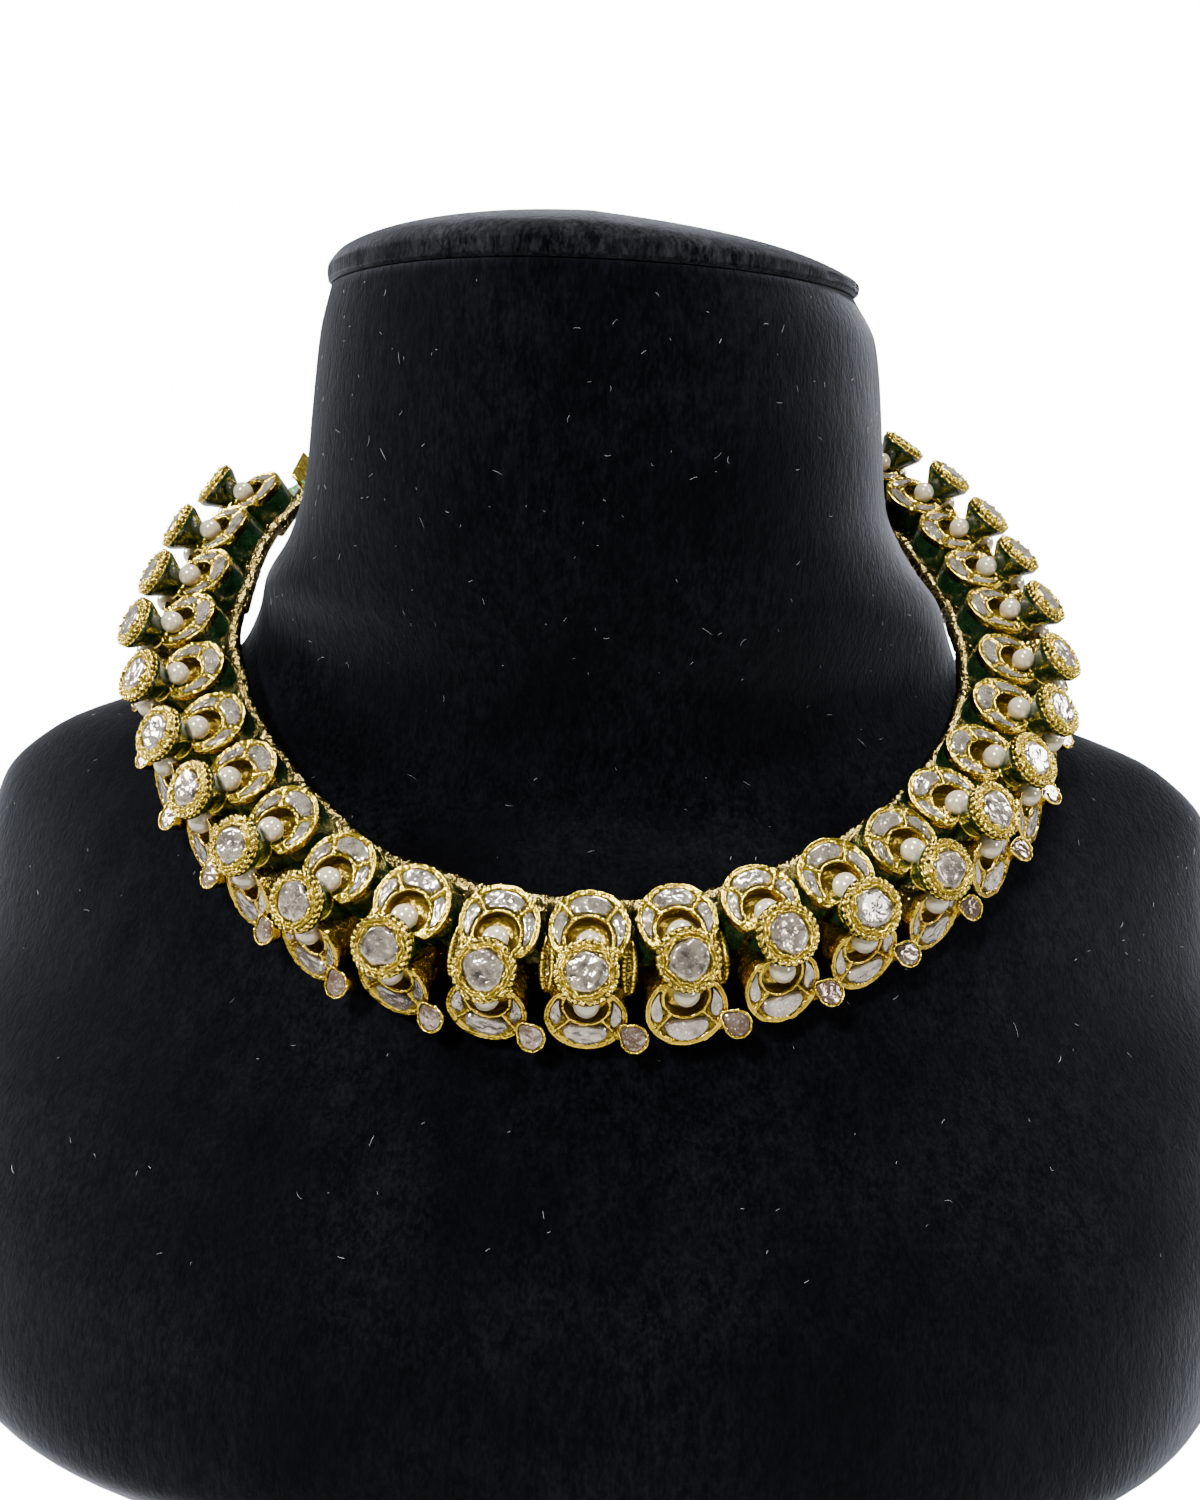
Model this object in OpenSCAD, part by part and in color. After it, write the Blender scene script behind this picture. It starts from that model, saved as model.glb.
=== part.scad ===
// Kundan necklace of linked stone settings, lying on a plain velvet neck bust.
// Millimetres, +Z up. The origin is the centre of the bust's flat base.
// A link is drawn at its own origin: x runs along the chain, y up towards the
// neck, z out of the chain. place_link() then carries it to its seat.

/* [Necklace loop] */
// Radius of the loop that the links' backs follow
loop_r = 76.6; // [75:0.1:80]
// How far the loop leans forward and down, in degrees
loop_slope = 32; // [30:0.5:34]
// How far the loop's centre lies behind the middle of the bust
loop_back = 0; // [-1:0.1:1]
// Spacing of the links along the loop
link_pitch = 13.5; // [13.4:0.05:14]
// Angle of the links' faces above the plane of the loop
face_angle = 50; // [46:0.5:54]

/* [Settings] */
// Width of the upper horseshoe setting
upper_w = 12.1; // [11.4:0.1:12.2]
// Width of the lower horseshoe setting
lower_w = 12.3; // [11.4:0.1:12.6]
// Length of the upper horseshoe from its crest to its arm ends
upper_len = 10.4; // [9.8:0.1:10.8]
// Length of the lower horseshoe from its crest to its arm ends
lower_len = 11.0; // [10.4:0.1:11.4]
// Gold between the crest and the hole of the upper horseshoe
upper_crest = 4.2; // [3.9:0.1:4.5]
// Gold between the crest and the hole of the lower horseshoe
lower_crest = 5.0; // [4.6:0.1:5.2]
// Diameter of the upper horseshoe's hole
upper_hole_d = 6.9; // [6.5:0.1:7.1]
// Diameter of the lower horseshoe's hole
lower_hole_d = 6.6; // [6.2:0.1:6.8]
// Slope of the upper horseshoe's face towards the neck
upper_tilt = 24; // [20:1:27]
// Slope of the lower horseshoe's face away from the neck
lower_tilt = 32; // [28:1:34]
// Height of the face at the crest of the upper horseshoe
upper_rise = 1.4; // [1.1:0.1:1.8]
// Height of the face at the crest of the lower horseshoe
lower_rise = -0.4; // [-0.5:0.1:0]
// Distance of the upper crest from the middle of the link
upper_reach = 11.4; // [11.2:0.1:11.7]
// Distance of the lower crest from the middle of the link
lower_reach = 12.5; // [12.3:0.1:12.9]
// Width of the gold rim around the stones
rim_w = 0.6; // [0.5:0.05:0.7]
// Width of the gold walls between the stones
wall_w = 0.5; // [0.4:0.05:0.6]

/* [Back plate and rail] */
// Thickness of the back plate
plate_t = 1.2; // [1:0.1:1.4]
// Depth of the back plate's underside below the loop line
plate_drop = 4.6; // [4.3:0.1:4.9]
// Radius of the plate's scallop behind the upper horseshoe
scallop_r = 7.4; // [7.1:0.1:7.7]
// Diameter of the inner rail
rail_d = 2.2; // [1.8:0.1:2.4]
// Distance of the rail from the middle of the link
rail_reach = 8.7; // [8.4:0.1:9]
// Gap between neighbouring links, at the rail and the plates
link_gap = 0.5; // [0.4:0.05:0.7]

/* [Raised collet] */
// Diameter of the collet's head
crown_d = 9.3; // [8.8:0.1:9.6]
// Height of the collet's head above the loop line
crown_z = 11; // [10.5:0.1:11.4]
// Thickness of the head at its rim
crown_t = 1.5; // [1.3:0.1:1.8]
// Diameter of the collet's waist
waist_d = 5; // [4.8:0.1:5.4]
// Diameter of the collet's foot
foot_d = 7.4; // [7:0.1:7.8]
// Diameter of the stone in the collet
crown_stone_d = 5.7; // [5.3:0.1:5.9]

/* [Stones and pearls] */
// Diameter of a pearl
pearl_d = 3.9; // [3.6:0.1:4]
// Depth of the hole that holds a pearl
hole_deep = 2.9; // [2.6:0.1:3]
// How far a pearl's middle stands above the face around it
pearl_rise = 0.4; // [0.2:0.05:0.6]
// How far a pearl lies from the hole's middle towards the collet
pearl_shift = 0.8; // [0.6:0.05:1]
// Thickness of the peg under a pearl
peg_d = 1; // [0.8:0.1:1.2]
// How far the stones are let into the gold
seat_deep = 0.9; // [0.8:0.05:1]
// How far the stones' tables stand above the gold
table_proud = 0.3; // [0.2:0.05:0.4]
// Width of a stone's table as a share of the stone
table_share = 0.6; // [0.5:0.05:0.7]
// Gap between a stone or pearl and the gold around it
stone_gap = 0.12; // [0.1:0.01:0.15]

/* [Separators and drops] */
// Length of a separator between two links
fin_len = 7.4; // [7:0.1:7.8]
// Width of a separator at its middle
fin_w = 1.7; // [1.5:0.1:1.8]
// Height of a separator above the loop line
fin_z = 1.7; // [1.4:0.1:2.2]
// Depth of a separator below the loop line
fin_deep = 1.8; // [1.6:0.1:2.2]
// Diameter of the small drop collet beside each lower horseshoe
drop_d = 3.8; // [3.6:0.1:4]
// Diameter of the small drop stone's seat
drop_stone_d = 2.6; // [2.4:0.1:2.8]
// Height of the drop collet's face above the loop line
drop_z = 2.8; // [2.6:0.1:3.2]
// Thickness of the drop collet
drop_t = 3; // [2.8:0.1:3.2]
// Distance of the drop collet from the lower crest, along the link
drop_in = 2.3; // [2:0.1:2.6]
// Thickness of the arm that carries the drop collet
arm_t = 1.1; // [0.9:0.1:1.3]

/* [Ends and closure] */
// Length of an end piece along the chain
end_len = 11.5; // [11:0.1:12]
// Height of an end piece where it meets its link
end_h = 17; // [16:0.5:18]
// Thickness of an end piece
end_t = 2.4; // [2:0.1:2.8]
// Diameter of the eye that ends the piece
eye_d = 5; // [4.6:0.1:5.4]
// Diameter of the hole in that eye
eye_hole_d = 2; // [1.6:0.1:2.4]
// Gap between the eyes, the chain and the clasp
chain_gap = 0.3; // [0.2:0.05:0.4]
// Diameter of the plain chain behind the neck
chain_d = 3; // [2.8:0.1:3.4]
// Diameter of the plain clasp
clasp_d = 5; // [4.6:0.1:5.4]
// Length of the plain clasp
clasp_len = 11; // [10:0.5:13]

/* [Neck bust] */
// Height of the bust up to the seam under its cap
bust_h = 196; // [195:0.5:198]
// Height of the seam above the loop's centre, as a share of the loop's radius
seam_share = 0.7963; // [0.78:0.0001:0.81]
// Width of the bust at the shoulders, as a share of the loop's radius
shoulder_share = 3.329; // [3.3:0.001:3.35]
// Distance from the middle of the bust to its chest, as a share of the same
chest_share = 1.2076; // [1.19:0.0001:1.22]
// Distance from the middle of the bust to its back, as a share of the same
back_share = 1.0444; // [1.03:0.0001:1.06]
// Width of the neck at the seam, as a share of the same
neck_share = 1.2063; // [1.18:0.0001:1.21]
// Distance from the middle of the bust to the neck's front, as a share of the same
throat_share = 0.5614; // [0.55:0.0001:0.565]
// Distance from the middle of the bust to the nape, as a share of the same
nape_share = 0.7311; // [0.72:0.0001:0.74]
// How far the neck leans to one side at the seam
neck_shift = 4.5; // [3:0.5:5]
// Height of the padded cap on the neck
cap_h = 9.5; // [8:0.5:11]
// Height of the cap's upright edge
cap_edge = 2.5; // [2:0.5:3.5]
// How far the cap stands out past the neck
cap_lip = 1; // [0.5:0.1:1.5]
// Depth of the seam between the neck and the cap
seam_t = 0.3; // [0.2:0.05:0.4]

/* [Hidden] */
// How each link hangs, chosen by hand, from the left end to the right: its
// swing about the chain and its lean along it in degrees, its lift and how far
// out it lies in millimetres, and the tip of its collet in degrees
HANG = [
    [-11, 7, 0.5, 0.8, 0], [-12, 7, 1.1, 0.3, 0], [-8, 4, 0.6, 0.1, 0],
    [-7, 2, 0.8, 1.0, 0], [-2, 2, 0.7, 0.6, 0], [0, 1, 0, 0.2, 0],
    [-2, -4, -0.5, -0.3, 0], [-3, -6, -0.5, 0.3, 0], [-4, -7, -1.2, 1.2, 0],
    [-9, -4, -0.7, 1.2, 6], [-6, 0, -0.5, 1.2, 8], [-2, -1, -0.5, 0.6, 12],
    [7, -1, 0, 0.5, -4], [8, 3, 0.3, -0.2, 0], [2, 0, 0.7, -0.4, 0],
    [0, 2, 0.6, -0.2, 0], [9, 3, 0.6, -0.4, 0], [8, 4, 0.5, 0, 0],
    [4, 2, 0.5, 0.5, 0], [4, 2, 0.2, 0.5, 0], [4, 3, 0.5, -0.4, 0],
    [7, 4, 0, -0.6, 0], [6, -3, -0.2, -0.6, 0], [7, -4, -0.4, 0, 0],
    [2, -4, -1.0, 0, 0],
];
// Links to the left of the one that hangs at the front of the neck
LEFT_LINKS = 11;
LINKS = [1:len(HANG)];
STEP = link_pitch / loop_r * 180 / PI;
function link_name(i) = str("link_", i < 10 ? "0" : "", i);

GOLD = "goldenrod";
STONE = "lightsteelblue";
PEARL = "ivory";
VELVET = "dimgray";
ROUND = 48;

// Each horseshoe as one row: width, length, crest, hole diameter and depth
UPPER = [upper_w, upper_len, upper_crest, upper_hole_d, hole_deep];
LOWER = [lower_w, lower_len, lower_crest, lower_hole_d, hole_deep];
// Half angle of the stone at the crest, and the outer end of the side stones
UPPER_SPLIT = [38, 108];
LOWER_SPLIT = [42, 112];
CROWN_FACETS = 12;

stone_h = seat_deep - stone_gap + table_proud;
girdle_h = stone_h * 0.35;
lower_mid_u = lower_w / 2 - lower_reach;
rail_n = -plate_drop;
drop_u = drop_in - lower_reach;
rib_x = (room(fin_len / 4, 0) - link_gap) / 2;
eye_n = end_t / 2 - plate_drop;

// Room along the chain for a link at a point u up and n out of its face
function room(u, n) =
    let (r = loop_r - u * sin(face_angle) + n * cos(face_angle))
    link_pitch * r / loop_r - link_gap;

// Half the width of a horseshoe at a length below its crest
function shoe_half(s, y) = sqrt(y * (s[0] - y));
// Where the hole's centre lies below a horseshoe's crest
function hole_y(s) = -(s[2] + s[3] / 2);
// Distance from the hole's centre to the outer wall's inside at angle a
function rim_at(s, a) =
    let (c = -s[0] / 2 - hole_y(s), r = s[0] / 2 - rim_w)
    c * cos(a) + sqrt(r * r - pow(c * sin(a), 2));

// Outline of a seat between two radial walls, about the hole's centre
function seat_points(s, from, to, inset, steps) =
    let (
        side = wall_w / 2 + inset,
        inner = s[3] / 2 + wall_w + inset,
        b0 = from + asin(side / rim_at(s, from)),
        b1 = to - asin(side / rim_at(s, to)),
        a0 = from + asin(side / inner),
        a1 = to - asin(side / inner)
    )
    concat(
        [for (k = [0:steps])
            let (a = b0 + (b1 - b0) * k / steps)
            (rim_at(s, a) - inset) * [sin(a), cos(a)]],
        [for (k = [0:steps - 1])
            let (a = a1 + (a0 - a1) * k / (steps - 1))
            inner * [sin(a), cos(a)]]
    );
function side_points(s, split, inset) = seat_points(s, split[0], split[1], inset, 4);
function crest_points(s, split, inset) = seat_points(s, -split[0], split[0], inset, 5);
function mirrored(points) =
    [for (k = [len(points) - 1:-1:0]) [-points[k][0], points[k][1]]];
// The same, starting again from its outer arc
function turned(points) =
    let (n = len(points), m = mirrored(points))
    [for (k = [0:n - 1]) m[(k + (n - 1) / 2) % n]];
function round_points(r, count) =
    [for (k = [0:count - 1]) r * [sin(360 * k / count), cos(360 * k / count)]];

function middle(points, k = 0, sum = [0, 0]) =
    k == len(points) ? sum / len(points) : middle(points, k + 1, sum + points[k]);
function at_height(points, z) = [for (p = points) [p[0], p[1], z]];

// A solid through equal rings of points, each going clockwise seen from above.
// Its two ends are closed by the faces in cap, or by one face if there are none.
module loft(rings, cap = []) {
    n = len(rings[0]);
    m = len(rings);
    ends = len(cap) == 0 ? [[for (k = [0:n - 1]) k]] : cap;
    polyhedron(
        points = [for (ring = rings) each ring],
        faces = concat(
            [for (f = ends) [for (k = [len(f) - 1:-1:0]) f[k]]],
            [for (j = [0:m - 2]) for (k = [0:n - 1])
                [j * n + k, j * n + (k + 1) % n, (j + 1) * n + (k + 1) % n, (j + 1) * n + k]],
            [for (f = ends) [for (k = f) (m - 1) * n + k]]
        ),
        convexity = 4
    );
}
// Faces that close a bent outline: its outer arc has one point more than its inner
function bent_cap(n) =
    let (steps = (n - 1) / 2)
    concat(
        [for (k = [0:steps - 2]) each [[k, k + 1, n - 2 - k], [k, n - 2 - k, n - 1 - k]]],
        [[steps - 1, steps, steps + 1]]
    );

// A flat stone on its seat: a straight girdle, a ring of facets and a table
module stone(points, cap = []) {
    c = middle(points);
    table = [for (p = points) c + table_share * (p - c)];
    loft([
        at_height(points, stone_gap),
        at_height(points, stone_gap + girdle_h),
        at_height(table, stone_gap + stone_h)
    ], cap);
}
module bent_stone(points) {
    stone(points, bent_cap(len(points)));
}

// Carries a link's parts to its place on the loop
module place_link(i) {
    hang = HANG[i - 1];
    place_at(i - 1 - LEFT_LINKS, hang[3], hang[2])
        rotate([-hang[0], 0, 0])
            rotate([0, hang[1], 0])
                children();
}
module place_at(steps, out = 0, lift = 0) {
    on_loop()
        rotate([0, 0, steps * STEP])
            translate([0, -(loop_r + out), lift])
                rotate([90 - face_angle, 0, 0])
                    children();
}
module on_loop() {
    translate([0, bust_mid_y + loop_back, loop_z])
        rotate([loop_slope, 0, 0])
            children();
}

// Puts a horseshoe's parts on its sloping face, y towards its crest
module upper_face() {
    translate([0, upper_reach, upper_rise]) rotate([-upper_tilt, 0, 0]) children();
}
module lower_face() {
    translate([0, -lower_reach, lower_rise])
        rotate([0, 0, 180])
            rotate([-lower_tilt, 0, 0])
                children();
}
module at_hole(s) {
    translate([0, hole_y(s), 0]) children();
}
// Turns a collet about a point under its head
module tip_crown(i) {
    pivot = crown_z * 0.75;
    translate([0, 0, pivot]) rotate([-HANG[i - 1][4], 0, 0]) translate([0, 0, -pivot]) children();
}

module shoe_outline(s) {
    intersection() {
        translate([0, -s[0] / 2]) circle(d = s[0], $fn = ROUND);
        translate([-s[0], -s[1]]) square([2 * s[0], 2 * s[1]]);
    }
}
// The walls and floor of a horseshoe, deep enough to reach the back plate
module shoe_box(s) {
    deep = crown_z;
    difference() {
        translate([0, 0, -deep]) linear_extrude(deep) shoe_outline(s);
        at_hole(s) translate([0, 0, -s[4]]) cylinder(d = s[3], h = s[4] + 1, $fn = ROUND);
    }
}
module shoe_seats(s, split) {
    at_hole(s)
        translate([0, 0, -seat_deep])
            linear_extrude(seat_deep + 1) {
                polygon(crest_points(s, split, 0));
                polygon(side_points(s, split, 0));
                polygon(mirrored(side_points(s, split, 0)));
            }
}
module above_plate() {
    size = 4 * lower_reach;
    intersection() {
        children();
        translate([-size / 2, -size / 2, -plate_drop]) cube(size);
    }
}

// Keeps a link's walls inside its own wedge of the loop, as the link hangs
module own_share(i) {
    hang = HANG[i - 1];
    far = 3 * lower_reach;
    tip = loop_r - link_gap / 2 / sin(STEP / 2);
    half = (tip + far) * tan(STEP / 2);
    intersection() {
        children();
        rotate([0, -hang[1], 0])
            rotate([face_angle + hang[0] - 90, 0, 0])
                translate([0, hang[3], -hang[2] - far])
                    linear_extrude(2 * far)
                        polygon([[0, tip], [half, -far], [-half, -far]]);
    }
}
// Flat plate behind both horseshoes, scalloped up to the rail
module back_plate() {
    translate([0, 0, -plate_drop])
        linear_extrude(plate_t) {
            translate([0, rail_reach - scallop_r]) circle(r = scallop_r, $fn = ROUND);
            translate([-foot_d / 2, lower_mid_u])
                square([foot_d, rail_reach - scallop_r - lower_mid_u]);
        }
}
module rail() {
    long = 2 * scallop_r;
    translate([-long / 2, rail_reach, rail_n])
        rotate([0, 90, 0])
            cylinder(d = rail_d, h = long, $fn = ROUND / 2);
}
// The upright rib beside a link, on its right (1) or left (-1)
module separator(side) {
    lens_r = (fin_len * fin_len + fin_w * fin_w) / 4 / fin_w;
    mirror([side < 0 ? 1 : 0, 0, 0])
        translate([0, 0, -fin_deep]) {
            linear_extrude(fin_deep + fin_z)
                intersection() {
                    translate([rib_x + lens_r - fin_w / 2, 0])
                        circle(r = lens_r, $fn = 2 * ROUND);
                    translate([rib_x - lens_r + fin_w / 2, 0])
                        circle(r = lens_r, $fn = 2 * ROUND);
                }
            translate([0, -fin_w / 2, 0]) cube([rib_x, fin_w, plate_t]);
        }
}
module drop_collet() {
    x = room(drop_u, drop_z) / 2;
    arm_x = shoe_half(LOWER, drop_in / cos(lower_tilt)) - rim_w;
    translate([0, drop_u, drop_z - drop_t]) {
        translate([x, 0, 0])
            difference() {
                cylinder(d1 = drop_stone_d, d2 = drop_d, h = drop_t, $fn = ROUND);
                translate([0, 0, drop_t - seat_deep / 2])
                    cylinder(d = drop_stone_d, h = seat_deep, $fn = ROUND);
            }
        translate([arm_x, -arm_t / 2, 0]) cube([x - arm_x, arm_t, arm_t]);
    }
}
// Foot, waist and head of the raised collet, open for its stone
module collet() {
    head_z = crown_z - crown_t;
    seat_r = crown_stone_d / 2 + stone_gap;
    rotate_extrude($fn = ROUND)
        polygon([
            [0, plate_t / 2 - plate_drop], [foot_d / 2, plate_t / 2 - plate_drop],
            [waist_d / 2, head_z * 0.45], [waist_d / 2, head_z * 0.65],
            [crown_d / 2, head_z], [crown_d / 2, crown_z],
            [seat_r, crown_z], [seat_r, crown_z - seat_deep], [0, crown_z - seat_deep]
        ]);
}
module at_pearl(s) {
    at_hole(s) translate([0, -pearl_shift, pearl_rise]) children();
}
module pearl_peg(s) {
    at_pearl(s)
        translate([0, 0, -pearl_rise - s[4] - 0.5])
            cylinder(d = peg_d, h = s[4] + 0.5, $fn = ROUND / 2);
}
module pearl_room(s) {
    at_pearl(s) sphere(d = pearl_d + 2 * stone_gap, $fn = ROUND / 2);
}
// One whole link, soldered from its plate, boxes, collet, rib and drop
module link(i) {
    color(GOLD)
        difference() {
            union() {
                own_share(i) {
                    back_plate();
                    rail();
                    above_plate() {
                        upper_face() shoe_box(UPPER);
                        lower_face() shoe_box(LOWER);
                    }
                }
                if (i <= LEFT_LINKS + 1) separator(-1);
                if (i > LEFT_LINKS) separator(1);
                drop_collet();
                upper_face() pearl_peg(UPPER);
                lower_face() pearl_peg(LOWER);
                tip_crown(i) collet();
            }
            upper_face() shoe_seats(UPPER, UPPER_SPLIT);
            lower_face() shoe_seats(LOWER, LOWER_SPLIT);
            upper_face() pearl_room(UPPER);
            lower_face() pearl_room(LOWER);
        }
}

module shoe_stones(s, split) {
    at_hole(s)
        translate([0, 0, -seat_deep]) {
            bent_stone(crest_points(s, split, stone_gap));
            bent_stone(side_points(s, split, stone_gap));
            bent_stone(turned(side_points(s, split, stone_gap)));
        }
}
module crown_stones() {
    color(STONE)
        for (i = LINKS)
            place_link(i)
                tip_crown(i)
                    translate([0, 0, crown_z - seat_deep])
                        stone(round_points(crown_stone_d / 2, CROWN_FACETS));
}
module upper_stones() {
    color(STONE) for (i = LINKS) place_link(i) upper_face() shoe_stones(UPPER, UPPER_SPLIT);
}
module lower_stones() {
    color(STONE) for (i = LINKS) place_link(i) lower_face() shoe_stones(LOWER, LOWER_SPLIT);
}
module upper_pearls() {
    color(PEARL)
        for (i = LINKS)
            place_link(i) upper_face() at_pearl(UPPER) sphere(d = pearl_d, $fn = ROUND / 2);
}
module lower_pearls() {
    color(PEARL)
        for (i = LINKS)
            place_link(i) lower_face() at_pearl(LOWER) sphere(d = pearl_d, $fn = ROUND / 2);
}

// Tapered plate that ends the row of links in an eye, its wide side at x = 0
module end_piece() {
    eye_x = end_len - eye_d / 2;
    translate([0, 0, -plate_drop])
        difference() {
            union() {
                linear_extrude(end_t)
                    polygon([
                        [0, -end_h / 2], [0, end_h / 2],
                        [eye_x, eye_d * 0.4], [eye_x, -eye_d * 0.4]
                    ]);
                translate([eye_x, 0, 0]) cylinder(d = eye_d, h = end_t, $fn = ROUND);
            }
            translate([eye_x, 0, -1]) cylinder(d = eye_hole_d, h = end_t + 2, $fn = ROUND / 2);
        }
}
// Carries an end piece to the side of the first or the last link
module beside(i, side) {
    hang = HANG[i - 1];
    place_at(i - 1 - LEFT_LINKS + side, hang[3], hang[2])
        rotate([-hang[0], 0, 0])
            translate([side * (fin_w - room(end_h / 2, eye_n) / 2), 0, 0])
                mirror([side < 0 ? 1 : 0, 0, 0])
                    children();
}
module end_left() {
    color(GOLD) beside(1, -1) end_piece();
}
module end_right() {
    color(GOLD) beside(len(HANG), 1) end_piece();
}

// The chain's radius and height, level with the eyes
chain_r = loop_r + eye_n * cos(face_angle);
chain_z = eye_n * sin(face_angle);
// Angle round the loop that a length along it takes
function turn(length) = length / chain_r * 180 / PI;
END_TURN = turn(end_len + fin_w - room(end_h / 2, eye_n) / 2 + chain_gap);
CHAIN_FROM = (len(HANG) - LEFT_LINKS) * STEP + END_TURN;
CHAIN_TO = 360 - (LEFT_LINKS + 1) * STEP - END_TURN;
CLASP_AT = (CHAIN_FROM + CHAIN_TO) / 2;
CLASP_TURN = turn(clasp_len / 2 + chain_gap);

module chain(from, to) {
    on_loop()
        rotate([0, 0, from - 90])
            rotate_extrude(angle = to - from, $fn = 3 * ROUND)
                translate([chain_r, chain_z]) circle(d = chain_d, $fn = ROUND / 2);
}
module chain_right() {
    color(GOLD) chain(CHAIN_FROM, CLASP_AT - CLASP_TURN);
}
module chain_left() {
    color(GOLD) chain(CLASP_AT + CLASP_TURN, CHAIN_TO);
}
module clasp() {
    color(GOLD)
        on_loop()
            rotate([0, 0, CLASP_AT])
                translate([-clasp_len / 2, -chain_r, chain_z])
                    rotate([0, 90, 0])
                        cylinder(d = clasp_d, h = clasp_len, $fn = ROUND);
}

// Sections of the bust from its base up: height as a share of the form, how far
// the width, the front and the back have gone from the neck's size to the
// shoulders', how full the section's corners are (0 is an ellipse), and how far
// it lies to the side as a share of neck_shift
BUST_ROWS = [
    [0, 0.76, 0.747, 0.5, 0.33, 0.3], [0.02, 0.846, 0.879, 0.625, 0.34, 0.3],
    [0.087, 0.957, 1, 0.792, 0.38, 0.4], [0.204, 1, 0.929, 0.958, 0.3, 0.4],
    [0.306, 1, 0.713, 1, 0.13, 0.4], [0.393, 0.957, 0.463, 0.979, -0.2, 0.4],
    [0.459, 0.926, 0.293, 0.942, -0.33, 0.4], [0.515, 0.883, 0.085, 0.9, -0.38, 0.4],
    [0.566, 0.75, -0.113, 0.846, -0.46, 0.4], [0.612, 0.471, -0.174, 0.783, -0.5, 0.2],
    [0.653, 0.287, -0.162, 0.717, -0.44, 0], [0.689, 0.239, -0.125, 0.654, -0.31, 0],
    [0.724, 0.21, -0.085, 0.592, -0.16, -0.12], [0.765, 0.139, -0.042, 0.508, -0.03, -0.34],
    [0.816, 0.086, -0.004, 0.392, 0.05, -0.57], [0.878, 0.066, 0.012, 0.225, 0.05, -0.61],
    [0.934, 0.051, 0.012, 0.125, 0, -0.66], [0.967, 0.037, 0.006, 0.067, 0, -0.72],
    [1, 0, 0, 0, 0, -1],
];
// The cap's rings from the seam up: height as a share of the cap, or of its
// edge for the first three, and size as a share of the neck
CAP_EDGE_ROWS = [[0, 0.985], [0.3, 1], [1, 1]];
CAP_DOME_ROWS = [[0.52, 0.965], [0.7, 0.88], [0.84, 0.74], [0.94, 0.54], [0.99, 0.3], [1, 0.1]];
BUST_SIDES = 48;
// Height of the form as a share of the loop's radius, and the share of it that
// is the bust's foot
FORM_SHARE = 2.5587;
FOOT_ROWS = 0.1;
function grown(neck, shoulder, share) = neck + (shoulder - neck) * share;
function row_front(row) = grown(neck_y, chest_y, row[2]);
function row_back(row) = grown(nape_y, back_y, row[3]);
// The bust's form keeps to the loop that lies on it, and only its foot follows
// the bust's height
loop_z = bust_h - seam_share * loop_r;
bust_w = shoulder_share * loop_r;
chest_y = chest_share * loop_r;
back_y = back_share * loop_r;
neck_w = neck_share * loop_r;
neck_y = throat_share * loop_r;
nape_y = nape_share * loop_r;
form_h = FORM_SHARE * loop_r;
function row_z(row) = row[0] < FOOT_ROWS ? row[0] * bust_h : bust_h - (1 - row[0]) * form_h;
bust_mid_y = (row_front(BUST_ROWS[0]) - row_back(BUST_ROWS[0])) / 2;
// One section of the bust: its ellipse, with the corners filled or drawn in
function section(half, front, back, full, z, x) =
    [for (k = [0:BUST_SIDES - 1])
        let (a = 360 * k / BUST_SIDES, y = cos(a) * (1 + full * pow(sin(a), 2)))
        [x + half * sin(a), bust_mid_y + y * (y < 0 ? front : back), z]];
module bust() {
    color(VELVET)
        loft([for (row = BUST_ROWS)
            section(
                grown(neck_w, bust_w, row[1]) / 2, row_front(row), row_back(row),
                row[4], row_z(row), row[5] * neck_shift
            )]);
}
module bust_lid() {
    rows = concat(
        [for (r = CAP_EDGE_ROWS) [r[0] * cap_edge, r[1]]],
        [for (r = CAP_DOME_ROWS) [r[0] * cap_h, r[1]]]
    );
    color(VELVET)
        loft([for (r = rows)
            section(
                (neck_w / 2 + cap_lip) * r[1], (neck_y + cap_lip) * r[1],
                (nape_y + cap_lip) * r[1], 0, bust_h + seam_t + r[0], -neck_shift
            )]);
}

bust();
bust_lid();
for (i = LINKS) place_link(i) link(i);
crown_stones();
upper_stones();
lower_stones();
upper_pearls();
lower_pearls();
end_left();
end_right();
chain_left();
chain_right();
clasp();
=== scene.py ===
"""A kundan necklace of linked stone settings, lying on a plain velvet neck bust.

Lengths in this file are in millimetres until piece() puts them into a mesh, in metres.
A link is drawn at its own origin: x runs along the chain, y up towards the neck and z out
of the chain, and its matrix in LINKS carries it to its place on the loop. A shape is its
points, a list of arrays of faces, and a mark for each point that its material reads.
"""

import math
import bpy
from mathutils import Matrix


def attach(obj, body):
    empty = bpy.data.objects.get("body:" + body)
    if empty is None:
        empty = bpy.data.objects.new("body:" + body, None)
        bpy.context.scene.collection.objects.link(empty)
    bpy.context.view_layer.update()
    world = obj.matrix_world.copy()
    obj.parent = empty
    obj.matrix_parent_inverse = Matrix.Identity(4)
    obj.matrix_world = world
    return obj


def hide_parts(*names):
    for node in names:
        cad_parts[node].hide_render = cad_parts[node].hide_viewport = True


bl_info = {
    "name": "Kundan Necklace on a Neck Bust",
    "version": (1, 0, 0),
    "blender": (4, 5, 0),
    "location": "View3D > Sidebar > Necklace",
    "description": "Dresses the packed necklace with gold, enamel, stones, pearls and velvet",
    "category": "Add Mesh",
}

import bpy
import numpy as np
from mathutils import Matrix, Vector

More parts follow.
